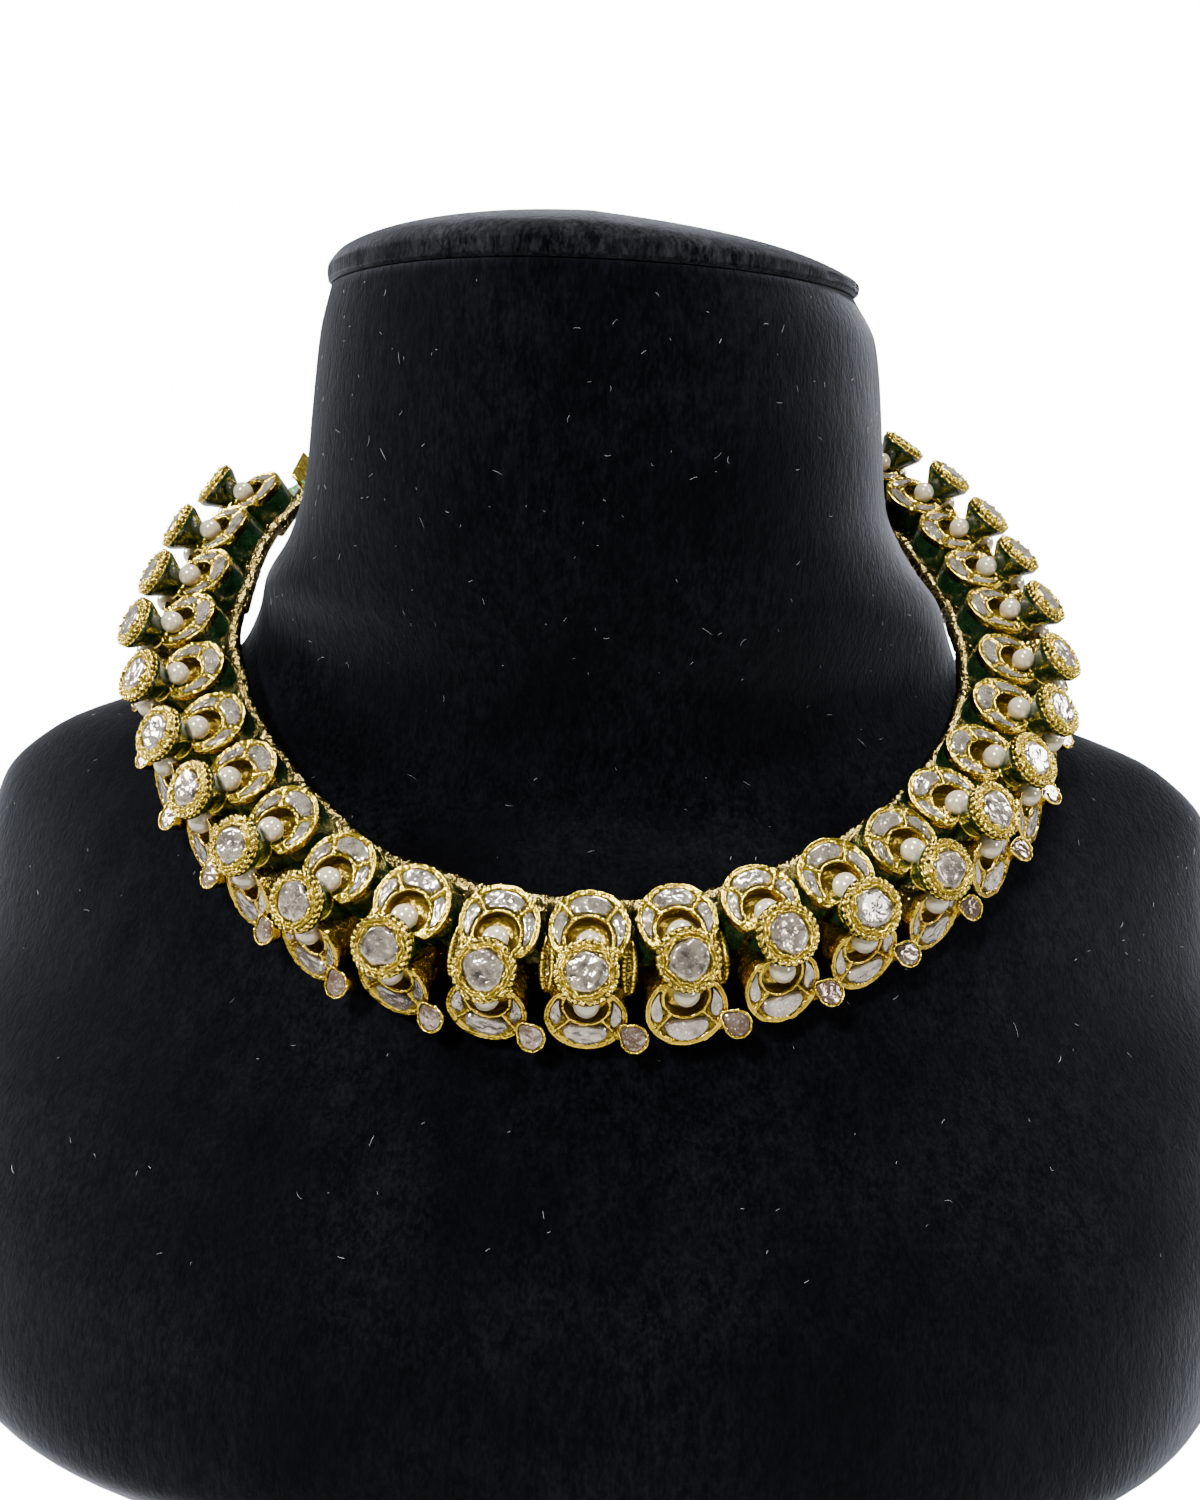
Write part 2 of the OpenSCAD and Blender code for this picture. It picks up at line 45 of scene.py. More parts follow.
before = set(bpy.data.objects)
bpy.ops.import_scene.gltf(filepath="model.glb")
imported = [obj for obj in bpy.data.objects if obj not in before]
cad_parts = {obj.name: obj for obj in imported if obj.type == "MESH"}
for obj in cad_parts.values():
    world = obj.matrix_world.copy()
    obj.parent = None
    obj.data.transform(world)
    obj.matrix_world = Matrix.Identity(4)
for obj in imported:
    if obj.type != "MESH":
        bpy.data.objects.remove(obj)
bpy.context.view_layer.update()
# How bright the backdrop looks to the camera
GLOW = 16.0

# The loop: its middle, radius and slope, the tilt of the links' faces, and their spacing
LOOP_MID = (0.0, 5.988, 135.003)
LOOP_R = 76.6
SLOPE = 32.0
FACE = 50.0
PITCH = 13.5
STEP = math.degrees(PITCH / LOOP_R)
# The back plate's underside and top, and the middle and radius of its scalloped edge
PLATE = -4.6
PLATE_TOP = PLATE + 1.2
SCALLOP_Y, SCALLOP_R = 1.3, 7.3
# How each link hangs, from the left end to the right: swing and lean in degrees, lift and
# how far out it lies in millimetres, and the tip of its collet in degrees
SWING = (-11, -12, -8, -7, -2, 0, -2, -3, -4, -9, -6, -2, 7, 8, 2, 0, 9, 8, 4, 4, 4, 7, 6, 7, 2)
LEAN = (7, 7, 4, 2, 2, 1, -4, -6, -7, -4, 0, -1, -1, 3, 0, 2, 3, 4, 2, 2, 3, 4, -3, -4, -4)
LIFT = (0.5, 1.1, 0.6, 0.8, 0.7, 0, -0.5, -0.5, -1.2, -0.7, -0.5, -0.5, 0, 0.3, 0.7, 0.6, 0.6,
        0.5, 0.5, 0.2, 0.5, 0, -0.2, -0.4, -1.0)
OUT = (0.8, 0.3, 0.1, 1.0, 0.6, 0.2, -0.3, 0.3, 1.2, 1.2, 1.2, 0.6, 0.5, -0.2, -0.4, -0.2, -0.4,
       0, 0.5, 0.5, -0.4, -0.6, -0.6, 0, 0)
TIP = (0,) * 9 + (6, 8, 12, -4) + (0,) * 12
COUNT = len(SWING)
LEFT = 11

# Each horseshoe: width, length, gold above the hole, hole diameter, and the half angle of
# its crest stone and the outer end of its side stones in degrees
UPPER = {"w": 12.1, "len": 10.4, "crest": 4.2, "hole": 6.9, "split": (38.0, 108.0)}
LOWER = {"w": 12.3, "len": 11.0, "crest": 5.0, "hole": 6.6, "split": (42.0, 112.0)}
UPPER_TILT = 24
# The gold rim round the stones, the walls between them and the depth of a pearl's hole; a
# pearl's radius; the height of a raised stone, and of the point that its collet tips about
RIM, WALL, HOLE_DEEP = 0.6, 0.5, 2.9
PEARL_R = 2.03
CROWN_Z, CROWN_PIVOT = 11.0, 8.25

# Sections of the bust from its base up: height as a share of the form, how far the width,
# the front and the back have gone from the neck's size to the shoulders', how full the
# corners are, and how far it lies to the side as a share of the neck's shift
BUST_ROWS = np.array([
    [0, 0.76, 0.747, 0.5, 0.33, 0.3], [0.02, 0.846, 0.879, 0.625, 0.34, 0.3],
    [0.087, 0.957, 1, 0.792, 0.38, 0.4], [0.204, 1, 0.929, 0.958, 0.3, 0.4],
    [0.306, 1, 0.713, 1, 0.13, 0.4], [0.393, 0.957, 0.463, 0.979, -0.2, 0.4],
    [0.459, 0.926, 0.293, 0.942, -0.33, 0.4], [0.515, 0.883, 0.085, 0.9, -0.38, 0.4],
    [0.566, 0.75, -0.113, 0.846, -0.46, 0.4], [0.612, 0.471, -0.174, 0.783, -0.5, 0.2],
    [0.653, 0.287, -0.162, 0.717, -0.44, 0], [0.689, 0.239, -0.125, 0.654, -0.31, 0],
    [0.724, 0.21, -0.085, 0.592, -0.16, -0.12], [0.765, 0.139, -0.042, 0.508, -0.03, -0.34],
    [0.816, 0.086, -0.004, 0.392, 0.05, -0.57], [0.878, 0.066, 0.012, 0.225, 0.05, -0.61],
    [0.934, 0.051, 0.012, 0.125, 0, -0.66], [0.967, 0.037, 0.006, 0.067, 0, -0.72],
    [1, 0, 0, 0, 0, -1],
])
BUST_H = 196.0
# Width, front and back of the neck and of the shoulders
NECK = (92.4, 43.0, 56.0)
SHOULDER = (255.0, 92.5, 80.0)
NECK_SHIFT = 4.5
# The cap's height and its size as a share of the neck's, from the seam to its middle
CAP_ROWS = np.array([
    [0, 0.985], [0.75, 1], [2.5, 1], [4.94, 0.965], [6.65, 0.88], [7.98, 0.74],
    [8.93, 0.54], [9.4, 0.3], [9.5, 0.1],
])
CAP_Z = BUST_H + 0.3


# Places

def turn(axis, degrees):
    """A turn about one axis, as a 4 by 4 matrix."""
    c, s = math.cos(math.radians(degrees)), math.sin(math.radians(degrees))
    i, j = {"x": (1, 2), "y": (2, 0), "z": (0, 1)}[axis]
    m = np.eye(4)
    m[i, i], m[j, j], m[i, j], m[j, i] = c, c, -s, s
    return m


def shift(x=0.0, y=0.0, z=0.0):
    """A move, as a 4 by 4 matrix."""
    m = np.eye(4)
    m[:3, 3] = x, y, z
    return m


ON_LOOP = shift(*LOOP_MID) @ turn("x", SLOPE)


def place(i, steps=0):
    """The matrix of a link before its swing, or of what lies some steps beside it."""
    along = ON_LOOP @ turn("z", (i + steps - LEFT) * STEP)
    return along @ shift(0, -(LOOP_R + OUT[i]), LIFT[i]) @ turn("x", 90 - FACE)


LINKS = np.array([
    place(i) @ turn("x", -SWING[i]) @ turn("y", LEAN[i]) for i in range(COUNT)
])
# Where each link's horseshoes and its raised collet sit
UPPER_AT = LINKS @ shift(0, 11.4, 1.4) @ turn("x", -UPPER_TILT)
LOWER_AT = LINKS @ shift(0, -12.5, -0.4) @ turn("z", 180) @ turn("x", -32)
SHOES = ((UPPER, UPPER_AT), (LOWER, LOWER_AT))
CROWN_AT = np.array([
    m @ shift(z=CROWN_PIVOT) @ turn("x", -tip) @ shift(z=-CROWN_PIVOT) for m, tip in zip(LINKS, TIP)
])


def room(u, n):
    """Room along the chain for a link at a point u up and n out of its face."""
    r = LOOP_R - u * math.sin(math.radians(FACE)) + n * math.cos(math.radians(FACE))
    return PITCH * r / LOOP_R - 0.5


# Meshes

def smooth(x):
    """A soft step from 0 to 1."""
    x = np.clip(x, 0, 1)
    return x * x * (3 - 2 * x)


def bell(x, wide):
    """A soft bump of height 1 about 0: exp(-(x / wide)^2)."""
    return np.exp(-((x / wide) ** 2))


def angles(count):
    """That many angles round a circle."""
    return np.arange(count) * 2 * np.pi / count


def unit(v):
    """Vectors drawn to length 1."""
    return v / np.linalg.norm(v, axis=-1, keepdims=True)


def phases(rng, many):
    """Several chance phases in radians for each link, one after the other."""
    return rng.uniform(0, 6.283, (COUNT, many, 1, 1)).swapaxes(0, 1)


def waves(x, seed, counts, falls):
    """A soft closed wobble round x in radians: a few sines of whole counts and chance phases."""
    rng = np.random.default_rng(seed)
    return sum(f * np.sin(c * x + rng.uniform(0, 6.283)) for c, f in zip(counts, falls)) / sum(falls)


def surface(points, marks=0.0, flip=False, round_rows=False, round_columns=False):
    """A surface from rows and columns of points, given whole or as x, y and z, facing row
    step x column step. It may close round on itself either way."""
    if isinstance(points, tuple):
        points = np.stack(np.broadcast_arrays(*points), -1)
    *lead, rows, columns, _ = points.shape
    i = np.arange(rows - (not round_rows))[:, None]
    j = np.arange(columns - (not round_columns))
    i, i1, j1 = i * columns, (i + 1) % rows * columns, (j + 1) % columns
    faces = np.stack([i + j, i1 + j, i1 + j1, i + j1], -1).reshape(-1, 4)
    marks = np.broadcast_to(marks, (*lead, rows, columns)).reshape(*lead, -1)
    return points.reshape(*lead, -1, 3), [faces[:, ::-1] if flip else faces], marks


def fan(ring, tip):
    """Triangles from each edge of a closed ring of point numbers to a tip."""
    return np.stack([ring, np.roll(ring, -1), np.full(len(ring), tip)], 1)


def capped(shape, columns, tips=None, mark=0.0, flip=False):
    """A surface of closed rings, with a fan from its first and last ring to a tip each, or
    to the ring's middle."""
    points, faces, marks = shape
    n, way = points.shape[-2], -1 if flip else 1
    first, last = np.arange(columns), np.arange(n - columns, n)
    if tips is None:
        tips = np.stack([points[..., ring, :].mean(-2) for ring in (first, last)], -2)
    tips = np.broadcast_to(tips, (*points.shape[:-2], 2, 3))
    faces = faces + [fan(first[::way], n), fan(last[::-way], n + 1)]
    marks = np.concatenate([marks, np.full((*marks.shape[:-1], 2), mark)], -1)
    return np.concatenate([points, tips], -2), faces, marks


def carried(places, points):
    """Points moved by a matrix, or by each of several matrices."""
    return np.einsum("...ij,...nj->...ni", places[..., :3, :3], points) + places[..., None, :3, 3]


def repeat(shape, places):
    """A shape, or one shape for each place, carried to all the places."""
    points, faces, marks = shape
    n = points.shape[-2]
    start = (np.arange(len(places)) * n)[:, None, None]
    faces = [(some + start).reshape(-1, some.shape[1]) for some in faces]
    marks = np.broadcast_to(marks, (len(places), n)).ravel()
    return carried(places, points).reshape(-1, 3), faces, marks


def joined(shapes):
    """Several shapes as one."""
    start, faces = 0, []
    for points, more, _ in shapes:
        faces += [some + start for some in more]
        start += len(points)
    return np.concatenate([s[0] for s in shapes]), faces, np.concatenate([s[2] for s in shapes])


def mirrored(shape):
    """A shape with its left and right changed over, still facing outwards."""
    points, faces, marks = shape
    return points * [-1, 1, 1], [some[:, ::-1] for some in faces], marks


def rope_ring(radius, wire, around, sides, twist, depth, strands, height):
    """A ring of wire: a circle of the wire's radius carried round the z axis. Its surface
    sinks between strands that wind round it, as wire minus depth times the groove's shape."""
    a, b = angles(around)[:, None], angles(sides)
    groove = (0.5 - 0.5 * np.cos(strands * b + twist * a)) ** 1.4
    r = wire - depth * groove
    out = radius + r * np.cos(b)
    points = (out * np.cos(a), out * np.sin(a), height + r * np.sin(b))
    # the groove's shape is also each point's mark, painted shade between the strands
    return surface(points, groove, round_rows=True, round_columns=True)


def rod(path, wire, sides, bumps=0.0, marks=0.0, end=0.0):
    """A circle of the wire's radius plus its bumps, carried along a path of points, with a
    fan to the path's first and last point."""
    along = unit(np.gradient(path, axis=0))
    side = unit(np.cross(along, (0.0, 0.0, 1.0)))[:, None]
    top = np.cross(side, along[:, None])
    b = angles(sides)[:, None]
    r = (np.reshape(wire, (-1, 1)) + bumps)[..., None]
    points = path[:, None] + r * (np.cos(b) * side + np.sin(b) * top)
    return capped(surface(points, marks, round_columns=True), sides, path[[0, -1]], end)


def granules(centres, radii):
    """Small beads of 24 faces, three rings of six between two poles: each is the bead of
    radius 1 times its radius plus its centre."""
    r, z = np.array([[0.7, 1, 0.7], [-0.7, 0, 0.7]])[..., None]
    b = angles(6)
    rings = surface((r * np.cos(b), r * np.sin(b), z), flip=True, round_columns=True)
    places = np.zeros((len(centres), 4, 4))
    places[:, range(3), range(3)] = np.reshape(radii, (-1, 1))
    places[:, :3, 3] = centres
    return repeat(capped(rings, 6, [[0, 0, -1], [0, 0, 1]], flip=True), places)


def piece(name, shape, look, slot="gold", replaces=()):
    """Puts a shape into a new mesh that rides with the part. Its marks go into 'hollow'."""
    points, faces, marks = shape
    if not np.isfinite(points).all():
        raise RuntimeError(f"{name} has points that aren't numbers")
    mesh = bpy.data.meshes.new(name)
    mesh.from_pydata((points * 0.001).tolist(), [], [face for some in faces for face in some.tolist()])
    mesh.attributes.new("hollow", "FLOAT", "POINT").data.foreach_set("value", marks.astype(np.float32))
    mesh.shade_smooth()
    if slot == "stone":
        mesh.set_sharp_from_angle(angle=math.radians(35))
    mesh.materials.append(material(look))
    obj = bpy.data.objects.new(name, mesh)
    bpy.context.scene.collection.objects.link(obj)
    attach(obj, "root")
    if replaces:
        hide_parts(*replaces)
    return obj


# Materials

def put(tree, socket, value):
    """Links an output to a socket, or sets the socket to a number, a vector or a colour."""
    if isinstance(value, bpy.types.NodeSocket):
        tree.links.new(value, socket)
    elif isinstance(value, (int, float)):
        socket.default_value = value
    else:
        socket.default_value = (*value, 1)[:len(socket.default_value)]


def node(tree, kind, *inputs, **values):
    """A node with its settings, and its inputs by place or by name."""
    made = tree.nodes.new(kind)
    for key, value in values.items():
        if hasattr(made, key):
            setattr(made, key, value)
        else:
            put(tree, made.inputs[key], value)
    for socket, value in zip(made.inputs, inputs):
        put(tree, socket, value)
    return made


def ramp(tree, source, *stops):
    """A ramp through (position, grey) stops."""
    made = node(tree, "ShaderNodeValToRGB", source)
    line = made.color_ramp.elements
    for _ in stops[2:]:
        line.new(0.5)
    for element, (where, grey) in zip(line, stops):
        element.position, element.color = where, (grey, grey, grey, 1)
    return made.outputs[0]


def noise(tree, vector, scale, detail=2.0, rough=0.5, out="Fac"):
    """The value or the colour of a noise texture."""
    made = node(tree, "ShaderNodeTexNoise", Vector=vector, Scale=scale, Detail=detail, Roughness=rough)
    return made.outputs[out]


def cells(tree, vector, scale):
    """The distance to the middle of the nearest cell."""
    return node(tree, "ShaderNodeTexVoronoi", Vector=vector, Scale=scale).outputs["Distance"]


def maths(tree, operation, *values, clamp=False):
    """A Math node on sockets or numbers."""
    return node(tree, "ShaderNodeMath", *values, operation=operation, use_clamp=clamp).outputs[0]


def mixed(tree, factor, a, b):
    """A colour mix of sockets or colours."""
    made = node(tree, "ShaderNodeMix", factor, data_type="RGBA")
    put(tree, made.inputs[6], a)
    put(tree, made.inputs[7], b)
    return made.outputs[2]


# Each effect gives a colour, a roughness and a height for a bump

def gold_wear_and_shade(tree, where, hollow, bright, deep):
    """Gold: deep colour as painted shade in the hollows that the marks give and as tarnish in
    chance blotches and specks, bright colour on what hands polish.
    """
    fine = noise(tree, where, 2100, 3, 0.6)
    blotches = maths(tree, "MULTIPLY", ramp(tree, noise(tree, where, 260, 3), (0.42, 0), (0.7, 1)), 0.5)
    specks = maths(tree, "MULTIPLY", ramp(tree, fine, (0.34, 1), (0.56, 0)), 0.4)
    hollow = maths(tree, "MULTIPLY", hollow, 0.85)
    # painted shade in the hollows, joined with the tarnish of the blotches and specks; it also roughens the
    # gold there
    tarnish_and_shade = maths(tree, "MAXIMUM", hollow, maths(tree, "ADD", blotches, specks), clamp=True)
    pits = maths(tree, "MULTIPLY_ADD", cells(tree, where, 1500), 0.35, maths(tree, "MULTIPLY", fine, 0.55))
    dents = maths(tree, "MULTIPLY_ADD", noise(tree, where, 850), 2.2, pits)
    return mixed(tree, tarnish_and_shade, bright, deep), maths(tree, "MULTIPLY_ADD", tarnish_and_shade, 0.3, 0.07), dents


def crinkled_foil(tree, where, tone, light, shade, tint):
    """Crinkled foil under a flat stone: broken patches of painted light and shade with fine
    creases, a tint where the tone is high, sharp painted glints, and a painted shadow line,
    near black, where the tone passes 1."""
    warped = node(tree, "ShaderNodeVectorMath", noise(tree, where, 900, out="Color"), (0.0006,) * 3, where,
                  operation="MULTIPLY_ADD").outputs[0]
    creases = noise(tree, warped, 640, 2, 0.55)
    patches = noise(tree, where, 420)
    lit = ramp(tree, creases, (0.3, 0), (0.48, 0.55), (0.7, 1))
    body = mixed(tree, lit, shade, light)
    inside = maths(tree, "MINIMUM", tone, 1.0)
    tinted = maths(tree, "MULTIPLY", ramp(tree, patches, (0.35, 0.1), (0.65, 0.7)), inside)
    body = mixed(tree, tinted, body, tint)
    # painted glints: near white specks on the lit creases
    glints = ramp(tree, noise(tree, where, 2600), (0.6, 0), (0.7, 1))
    body = mixed(tree, maths(tree, "MULTIPLY", glints, lit), body, (0.95, 0.95, 0.93))
    # painted shadow line: near black where the tone passes 1, round each stone's edge
    body = mixed(tree, maths(tree, "SUBTRACT", tone, 1.0, clamp=True), body, (0.05, 0.04, 0.03))
    height = maths(tree, "MULTIPLY_ADD", cells(tree, warped, 650), 0.8, creases)
    return body, ramp(tree, patches, (0.3, 0.08), (0.7, 0.22)), height


def velvet_nap_and_sheen(tree, where, dark, light):
    """Velvet's nap: short streaks that lie down the form, and broad brushed patches, which lighten
    the colour as painted sheen where the nap catches light.
    """
    down = node(tree, "ShaderNodeMapping", Vector=where, Scale=(1, 1, 0.4)).outputs[0]
    streaks = noise(tree, down, 1500, 4, 0.7)
    tufts = noise(tree, down, 420, 3, 0.6)
    brushed = ramp(tree, noise(tree, where, 38, 3), (0.35, 0.25), (0.68, 1))
    streak, tuft = ramp(tree, streaks, (0.44, 0), (0.66, 1)), ramp(tree, tufts, (0.4, 0), (0.7, 0.6))
    # painted sheen: lighter colour where the streaks and tufts catch light, within the brushed patches
    painted_sheen = maths(tree, "MULTIPLY", maths(tree, "ADD", streak, tuft), brushed, clamp=True)
    colour = mixed(tree, painted_sheen, dark, light)
    return colour, ramp(tree, tufts, (0.3, 0.75), (0.7, 0.98)), maths(tree, "ADD", streaks, tufts)


def enamel(tree, where, colour, fleck, spread):
    """Glassy enamel over gold: cloudy colour with flecks of a second colour from the level
    spread of a noise up."""
    cloud = noise(tree, where, 500, 4)
    spots = noise(tree, where, 1100)
    body = mixed(tree, ramp(tree, cloud, (0.35, 0), (0.65, 1)), [0.35 * c for c in colour], colour)
    body = mixed(tree, ramp(tree, spots, (spread, 0), (spread + 0.1, 1)), body, fleck)
    return body, ramp(tree, cloud, (0.3, 0.08), (0.7, 0.28)), maths(tree, "ADD", cloud, spots)


def lustre(tree, where, colour):
    """A pearl's lustre: a warm body with faint rose and green cloud and brighter growth lines."""
    cloud = noise(tree, where, 350, 3)
    grain = noise(tree, where, 1800, 3)
    green, rose = ([c * k for c, k in zip(colour, by)] for by in ((0.9, 0.96, 0.88), (1.0, 0.86, 0.84)))
    tint = mixed(tree, ramp(tree, cloud, (0.35, 0), (0.65, 1)), green, rose)
    body = mixed(tree, ramp(tree, grain, (0.35, 0.3), (0.6, 0.75)), tint, colour)
    return body, ramp(tree, grain, (0.3, 0.1), (0.7, 0.2)), grain


# Effects that several materials share, each a node group: its name and its inputs
SHARED = {
    gold_wear_and_shade: ("Worn gold", ("Hollow", "Bright", "Deep")),
    crinkled_foil: ("Crinkled foil", ("Tone", "Light", "Shade", "Tint")),
    velvet_nap_and_sheen: ("Velvet nap", ("Dark", "Light")),
}
MARKS = ("Hollow", "Tone")

# Each material: its name, its effect, the strength and distance of its bump, what its effect
# is given, and the shader's own values. A word stands for a colour of the scene's settings.
METAL = {"Metallic": 1.0}
FOILED = {"Metallic": 0.65, "Coat Weight": 1.0, "Coat Roughness": 0.02, "Coat IOR": 1.6}
GLASSY = {"Coat Weight": 0.35, "Coat Roughness": 0.06}
PILE = {"Sheen Weight": 0.3, "Sheen Roughness": 0.36, "Sheen Tint": "velvet_sheen",
        "Specular IOR Level": 0.0}
LOOKS = {
    "upper gold": ("Bright foil gold", gold_wear_and_shade, 0.42, 0.00032, ("gold", "gold_deep"), METAL),
    "lower gold": ("Warm foil gold", gold_wear_and_shade, 0.42, 0.00032, ("gold_warm", "gold_deep"), METAL),
    "rope gold": ("Rope gold", gold_wear_and_shade, 0.35, 0.00025, ("gold", "gold_deep"), METAL),
    # the links' bodies take the darker gold that paints their shade
    "link gold": ("Hammered gold", gold_wear_and_shade, 0.6, 0.0004, ("gold_link", "gold_deep"), METAL),
    "chain gold": ("Chain gold", gold_wear_and_shade, 0.15, 0.0002, ("gold_warm", "gold_deep"), METAL),
    "lining": ("Hole lining", gold_wear_and_shade, 0.5, 0.0003, ("gold_lining", "gold_deep"), METAL),
    "pale polki": ("Pale foiled stone", crinkled_foil, 0.42, 0.0005,
                   ("stone_light", "stone_shade", "stone_green"), FOILED),
    "rose polki": ("Rose foiled stone", crinkled_foil, 0.42, 0.0005,
                   ("stone_light", "stone_shade", "stone_rose"), FOILED),
    "crown polki": ("Clear foiled stone", crinkled_foil, 0.45, 0.0006,
                    ("stone_light", "stone_shade", "stone_dark"), FOILED),
    "drop polki": ("Brown foiled stone", crinkled_foil, 0.4, 0.0005,
                   ("drop_light", "drop_dark", "drop_dark"), FOILED),
    "green enamel": ("Green enamel", enamel, 0.3, 0.0002, ("enamel", "enamel_glint", 0.62), GLASSY),
    "flecked enamel": ("Flecked enamel", enamel, 0.3, 0.0002,
                       ("enamel_light", "enamel_fleck", 0.5), GLASSY),
    "pearl": ("Pearl", lustre, 0.12, 0.0001, ("pearl",),
              {"Coat Weight": 1.0, "Coat Roughness": 0.04, "Metallic": 0.3}),
    "velvet": ("Velvet", velvet_nap_and_sheen, 0.32, 0.0005, ("velvet_dark", "velvet_light"), PILE),
    # the cap's material is the velvet painted lighter, as lit from above
    "cap velvet": ("Cap velvet", velvet_nap_and_sheen, 0.32, 0.0005, ("velvet_dark", "cap_light"), PILE),
    "lint": ("Lint", velvet_nap_and_sheen, 0.1, 0.0001, ("lint", "lint"), {}),
}


def group(effect):
    """The node group of a shared effect, built once."""
    name, labels = SHARED[effect]
    if name in bpy.data.node_groups:
        return bpy.data.node_groups[name]
    tree = bpy.data.node_groups.new(name, "ShaderNodeTree")
    inputs = [("Vector", "Vector")] + [(label, "Float" if label in MARKS else "Color") for label in labels]
    outputs = [("Color", "Color"), ("Roughness", "Float"), ("Height", "Float")]
    for way, sockets in (("INPUT", inputs), ("OUTPUT", outputs)):
        for label, kind in sockets:
            tree.interface.new_socket(name=label, in_out=way, socket_type="NodeSocket" + kind)
    given = node(tree, "NodeGroupInput").outputs
    node(tree, "NodeGroupOutput", *effect(tree, *(given[label] for label in ("Vector", *labels))))
    return tree


def material(look):
    """A material of the table above, built once. It reads Object coordinates and the marks."""
    name, effect, strength, distance, given, shader = LOOKS[look]
    if name in bpy.data.materials:
        return bpy.data.materials[name]
    made = bpy.data.materials.new(name)
    made.use_nodes = True
    tree = made.node_tree
    where = node(tree, "ShaderNodeTexCoord").outputs["Object"]
    colours = bpy.context.scene.necklace_colours
    read = lambda value: getattr(colours, value)[:] if isinstance(value, str) else value
    given = [read(value) for value in given]
    if effect in SHARED:
        labels = SHARED[effect][1]
        if labels[0] in MARKS:
            given.insert(0, node(tree, "ShaderNodeAttribute", attribute_name="hollow").outputs["Fac"])
        named = dict(zip(labels, given))
        colour, rough, height = node(
            tree, "ShaderNodeGroup", node_tree=group(effect), Vector=where, **named).outputs
    else:
        colour, rough, height = effect(tree, where, *given)
    relief = node(tree, "ShaderNodeBump", Strength=strength, Distance=distance, Height=height).outputs[0]
    sockets = {"Base Color": colour, "Roughness": rough, "Normal": relief, **shader}
    for key, value in sockets.items():
        put(tree, tree.nodes["Principled BSDF"].inputs[key], read(value))
    return made


# Settings

def length(name, text, value, low, high):
    """A size in metres that is kept in millimetres by this file's shapes."""
    return bpy.props.FloatProperty(
        name=name, description=text, default=value * 0.001, min=low * 0.001, max=high * 0.001,
        unit="LENGTH", subtype="DISTANCE", precision=5,
    )


def colour(name, text, value):
    """A colour that a user may change."""
    return bpy.props.FloatVectorProperty(
        name=name, description=text, default=value, size=3, min=0.0, max=1.0, subtype="COLOR")


class NecklaceSizes(bpy.types.PropertyGroup):
    """Sizes of the goldwork that lies on the settings."""

    ridge: length("Foil ridge", "Height of the foil pressed up round the stones", 0.3, 0.05, 0.6)
    rope: length("Rope rim", "Radius of the twisted rope round a raised collet", 0.46, 0.2, 0.6)
    granule: length("Granule", "Radius of a granule on the ribs between the links", 0.3, 0.1, 0.4)
    stone: length("Stone table", "How far a stone's table stands above the gold", 0.26, 0.1, 0.4)
    chain_wire: length("Chain wire", "Radius of the wire of the chain behind the neck", 0.38, 0.2, 0.5)
    wrinkle: length("Cap wrinkle", "Depth of the puckers round the padded cap", 0.25, 0.0, 0.6)
    lint: bpy.props.IntProperty(
        name="Lint", description="How many fibres of lint lie on the velvet", default=700, min=0, max=2000)


class NecklaceColours(bpy.types.PropertyGroup):
    """Colours of the gold, enamel, stones, pearls and velvet."""

    gold: colour("Gold", "Polished gold", (0.9, 0.65, 0.05))
    gold_warm: colour("Warm gold", "Gold of the lower settings and the chain", (0.82, 0.55, 0.04))
    # painted shade: a darker copy of the gold for the links' bodies and the rail, which lie in shade under
    # the settings
    gold_link: colour("Link gold", "Gold of the links' bodies and the rail", (0.32, 0.24, 0.07))
    # deep gold: painted shade in the hollows that the marks give, and tarnish in chance blotches and specks
    gold_deep: colour("Deep gold", "Gold in hollows and where it is tarnished", (0.07, 0.047, 0.007))
    gold_lining: colour("Lining", "Gold inside the pearls' holes", (0.85, 0.6, 0.07))
    stone_light: colour("Stone light", "Foil where it catches the light", (0.46, 0.39, 0.3))
    stone_shade: colour("Stone shade", "Foil in shade", (0.07, 0.06, 0.052))
    stone_green: colour("Stone green", "Cool tint of the upper stones", (0.31, 0.29, 0.225))
    stone_rose: colour("Stone rose", "Warm tint of the lower stones", (0.3, 0.22, 0.18))
    stone_dark: colour("Stone dark", "Dark middle of a raised stone", (0.07, 0.06, 0.055))
    drop_light: colour("Drop light", "Light of a small drop stone", (0.36, 0.28, 0.22))
    drop_dark: colour("Drop dark", "Dark of a small drop stone", (0.13, 0.07, 0.045))
    enamel: colour("Enamel", "Dark enamel of the walls", (0.006, 0.022, 0.006))
    enamel_glint: colour("Enamel glint", "Lighter flecks in the dark enamel", (0.016, 0.05, 0.014))
    enamel_light: colour("End enamel", "Enamel of the end pieces", (0.06, 0.28, 0.1))
    enamel_fleck: colour("End flecks", "Flecks in the end pieces' enamel", (0.8, 0.6, 0.55))
    pearl: colour("Pearl", "Body of a pearl", (0.55, 0.49, 0.35))
    velvet_dark: colour("Velvet dark", "Velvet seen down the nap", (0.0008, 0.0008, 0.0011))
    velvet_light: colour("Velvet light", "Velvet where the nap catches light", (0.0036, 0.0038, 0.0048))
    # painted light: the cap's velvet is a brighter copy of the bust's, as the cap is lit from above
    cap_light: colour("Cap light", "The cap's velvet where the nap catches light", (0.0165, 0.017, 0.0195))
    velvet_sheen: colour("Velvet sheen", "Tint of the velvet's sheen", (0.68, 0.71, 0.8))
    lint: colour("Lint", "Fibres on the velvet", (0.24, 0.25, 0.265))
    floor: colour("Floor", "Floor and backdrop", (0.9, 0.9, 0.9))


def mm(key):
    """A size of the settings in millimetres."""
    return getattr(bpy.context.scene.necklace_sizes, key) * 1000


# The bust

